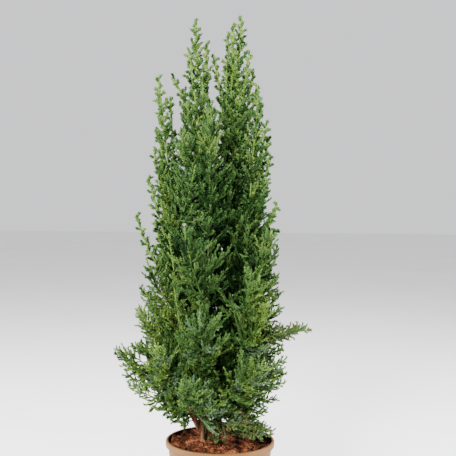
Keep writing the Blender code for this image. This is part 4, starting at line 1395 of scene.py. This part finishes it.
def wall_stain_and_shade(tree):
    """How far the plastic is stained by peat and darkened by painted shade: patchy, on the inner face, up to
    a little below the rim.
    """
    place = add_node(tree, "TexCoord", {}).outputs["Object"]
    x, y, z = add_node(tree, "SeparateXYZ", {"Vector": place}).outputs
    square = add_math(tree, "ADD", add_math(tree, "MULTIPLY", x, x), add_math(tree, "MULTIPLY", y, y))
    slope = (wall_radius(POT_HEIGHT) - wall_radius(0.0)) / POT_HEIGHT
    wall = add_math(tree, "MULTIPLY_ADD", z, slope, wall_radius(0.0) - WALL / 2)
    inside = add_math(tree, "LESS_THAN", add_math(tree, "SQRT", square), wall)
    patches = add_noise(tree, *STAIN_AND_SHADE_PATCHES)
    edge = add_math(tree, "MULTIPLY_ADD", patches, STAIN_AND_SHADE_SPREAD, POT_HEIGHT - STAIN_AND_SHADE_DROP)
    below = add_math(tree, "LESS_THAN", z, edge)
    low_face = add_math(tree, "GREATER_THAN", z, SOIL_EDGE_HEIGHT - STAIN_AND_SHADE_DROP)
    return add_math(tree, "MULTIPLY", add_math(tree, "MULTIPLY", inside, below), low_face)


def plastic_material():
    """Taupe plastic of the pot: faint mottling, fine turning lines and a soft gloss, with a near-black peat
    stain and painted shade on the inner face, which takes the gloss away.
    """
    material, tree, shader = node_material("pot_plastic", 0.42)
    mottle, stain_and_shade = add_noise(tree, *MOTTLE), wall_stain_and_shade(tree)
    mixed = {"Factor": stain_and_shade, "B": STAIN_AND_SHADE_COLOUR, "A": add_ramp(tree, mottle, PLASTIC_STOPS)}
    stained = add_node(tree, "Mix", {}, data_type="RGBA")
    feed(tree, stained, mixed)
    gloss = add_math(tree, "MULTIPLY", add_math(tree, "SUBTRACT", 1.0, stain_and_shade), PLASTIC_GLOSS)
    feed(tree, shader, {"Base Color": stained.outputs["Result"], "Specular IOR Level": gloss})
    add_bump(tree, shader, add_noise(tree, *TURNING_LINES), *PLASTIC_RELIEF)
    add_roughness(tree, shader, mottle, *PLASTIC_ROUGHNESS)
    return material


def all_materials():
    made = {name: leaf_material(f"leaf_{name}", colour) for name, colour in TONES}
    made.update({name: leaf_material(name, colour) for name, colour in STEM_COLOURS.items()})
    made.update({name: rough_material(name, *row) for name, row in ROUGH_COLOURS.items()})
    made["plastic"] = plastic_material()
    return made


# Stage, light and camera
STAGE_SIZE = 12.0
STAGE_PLACE = (0.0, 2.0, 0.0)
CLOUDY_STOPS = ((0.3, (0.84, 0.83, 0.82)), (0.7, (0.88, 0.875, 0.87)))
SKY = {"Color": (0.96, 0.97, 1.0, 1.0), "Strength": 1.08}
LIT_POINT = (0.0, 0.0, 0.36)
# Name, place, size, power, colour
LIGHTS = (
    ("key", (-0.55, -1.58, 1.28), 0.35, 96, (1.0, 0.985, 0.96)),
    ("left_side", (-1.45, -0.10, 0.60), 0.8, 70, (1.0, 1.0, 1.0)),
    ("right_side", (1.45, -0.10, 0.60), 0.8, 70, (1.0, 1.0, 1.0)),
    ("top", (0.1, 0.5, 1.9), 0.8, 50, (1.0, 1.0, 1.0)),
)


def make_stage():
    bpy.ops.mesh.primitive_plane_add(size=STAGE_SIZE, location=STAGE_PLACE)
    floor = bpy.context.object
    floor.name = "floor"
    material, tree, shader = node_material("floor", 0.8)
    feed(tree, shader, {"Base Color": add_ramp(tree, add_noise(tree, 3, 3), CLOUDY_STOPS)})
    floor.data.materials.append(material)
    world = bpy.data.worlds.new("studio")
    bpy.context.scene.world = world
    world.use_nodes = True
    feed(world.node_tree, world.node_tree.nodes["Background"], SKY)


def make_lights():
    for name, place, size, power, colour in LIGHTS:
        data = bpy.data.lights.new(name, "AREA")
        data.shape = "SQUARE"
        data.size = size
        data.energy = power
        data.color = colour
        light = placed(name, data)
        light.location = place
        light.rotation_euler = (Vector(LIT_POINT) - Vector(place)).to_track_quat("-Z", "Y").to_euler()


def make_camera():
    """The photograph's camera: a little above the pot, tilted down by its horizon and rolled slightly."""
    data = bpy.data.cameras.new("camera")
    data.sensor_width = SENSOR
    data.lens = FOCAL_PIXELS / IMAGE_SIZE * SENSOR
    data.clip_start = CLIP_START
    pitch = math.atan((IMAGE_SIZE / 2 - HORIZON_ROW) / FOCAL_PIXELS)
    forward = Vector((0.0, math.cos(pitch), -math.sin(pitch)))
    right = Vector((1.0, 0.0, 0.0))
    up = right.cross(forward)
    turned_right = right * math.cos(ROLL) + up * math.sin(ROLL)
    turned_up = up * math.cos(ROLL) - right * math.sin(ROLL)
    matrix = Matrix((turned_right, turned_up, -forward)).transposed().to_4x4()
    matrix.translation = Vector(CAMERA_PLACE)
    camera = placed("camera", data)
    camera.matrix_world = matrix
    bpy.context.scene.camera = camera


def main():
    make_camera()
    make_lights()
    make_stage()
    materials = all_materials()
    limbs = limbs_of_plant()
    plumes = plumes_of_plant(limbs)
    masses = [name for name in frame["nodes"] if name.startswith(("plume", "leader"))]
    pieces = foliage(plumes, limbs, materials)
    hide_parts(*masses)
    pieces += bark_pieces(limbs, materials)
    pot = make_pot(materials["plastic"])
    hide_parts("pot")
    soil = make_soil(materials["peat"])
    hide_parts("soil")
    strewn = make_chips(materials)
    for piece in (*pieces, pot, soil, *strewn):
        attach(piece, "root")


main()
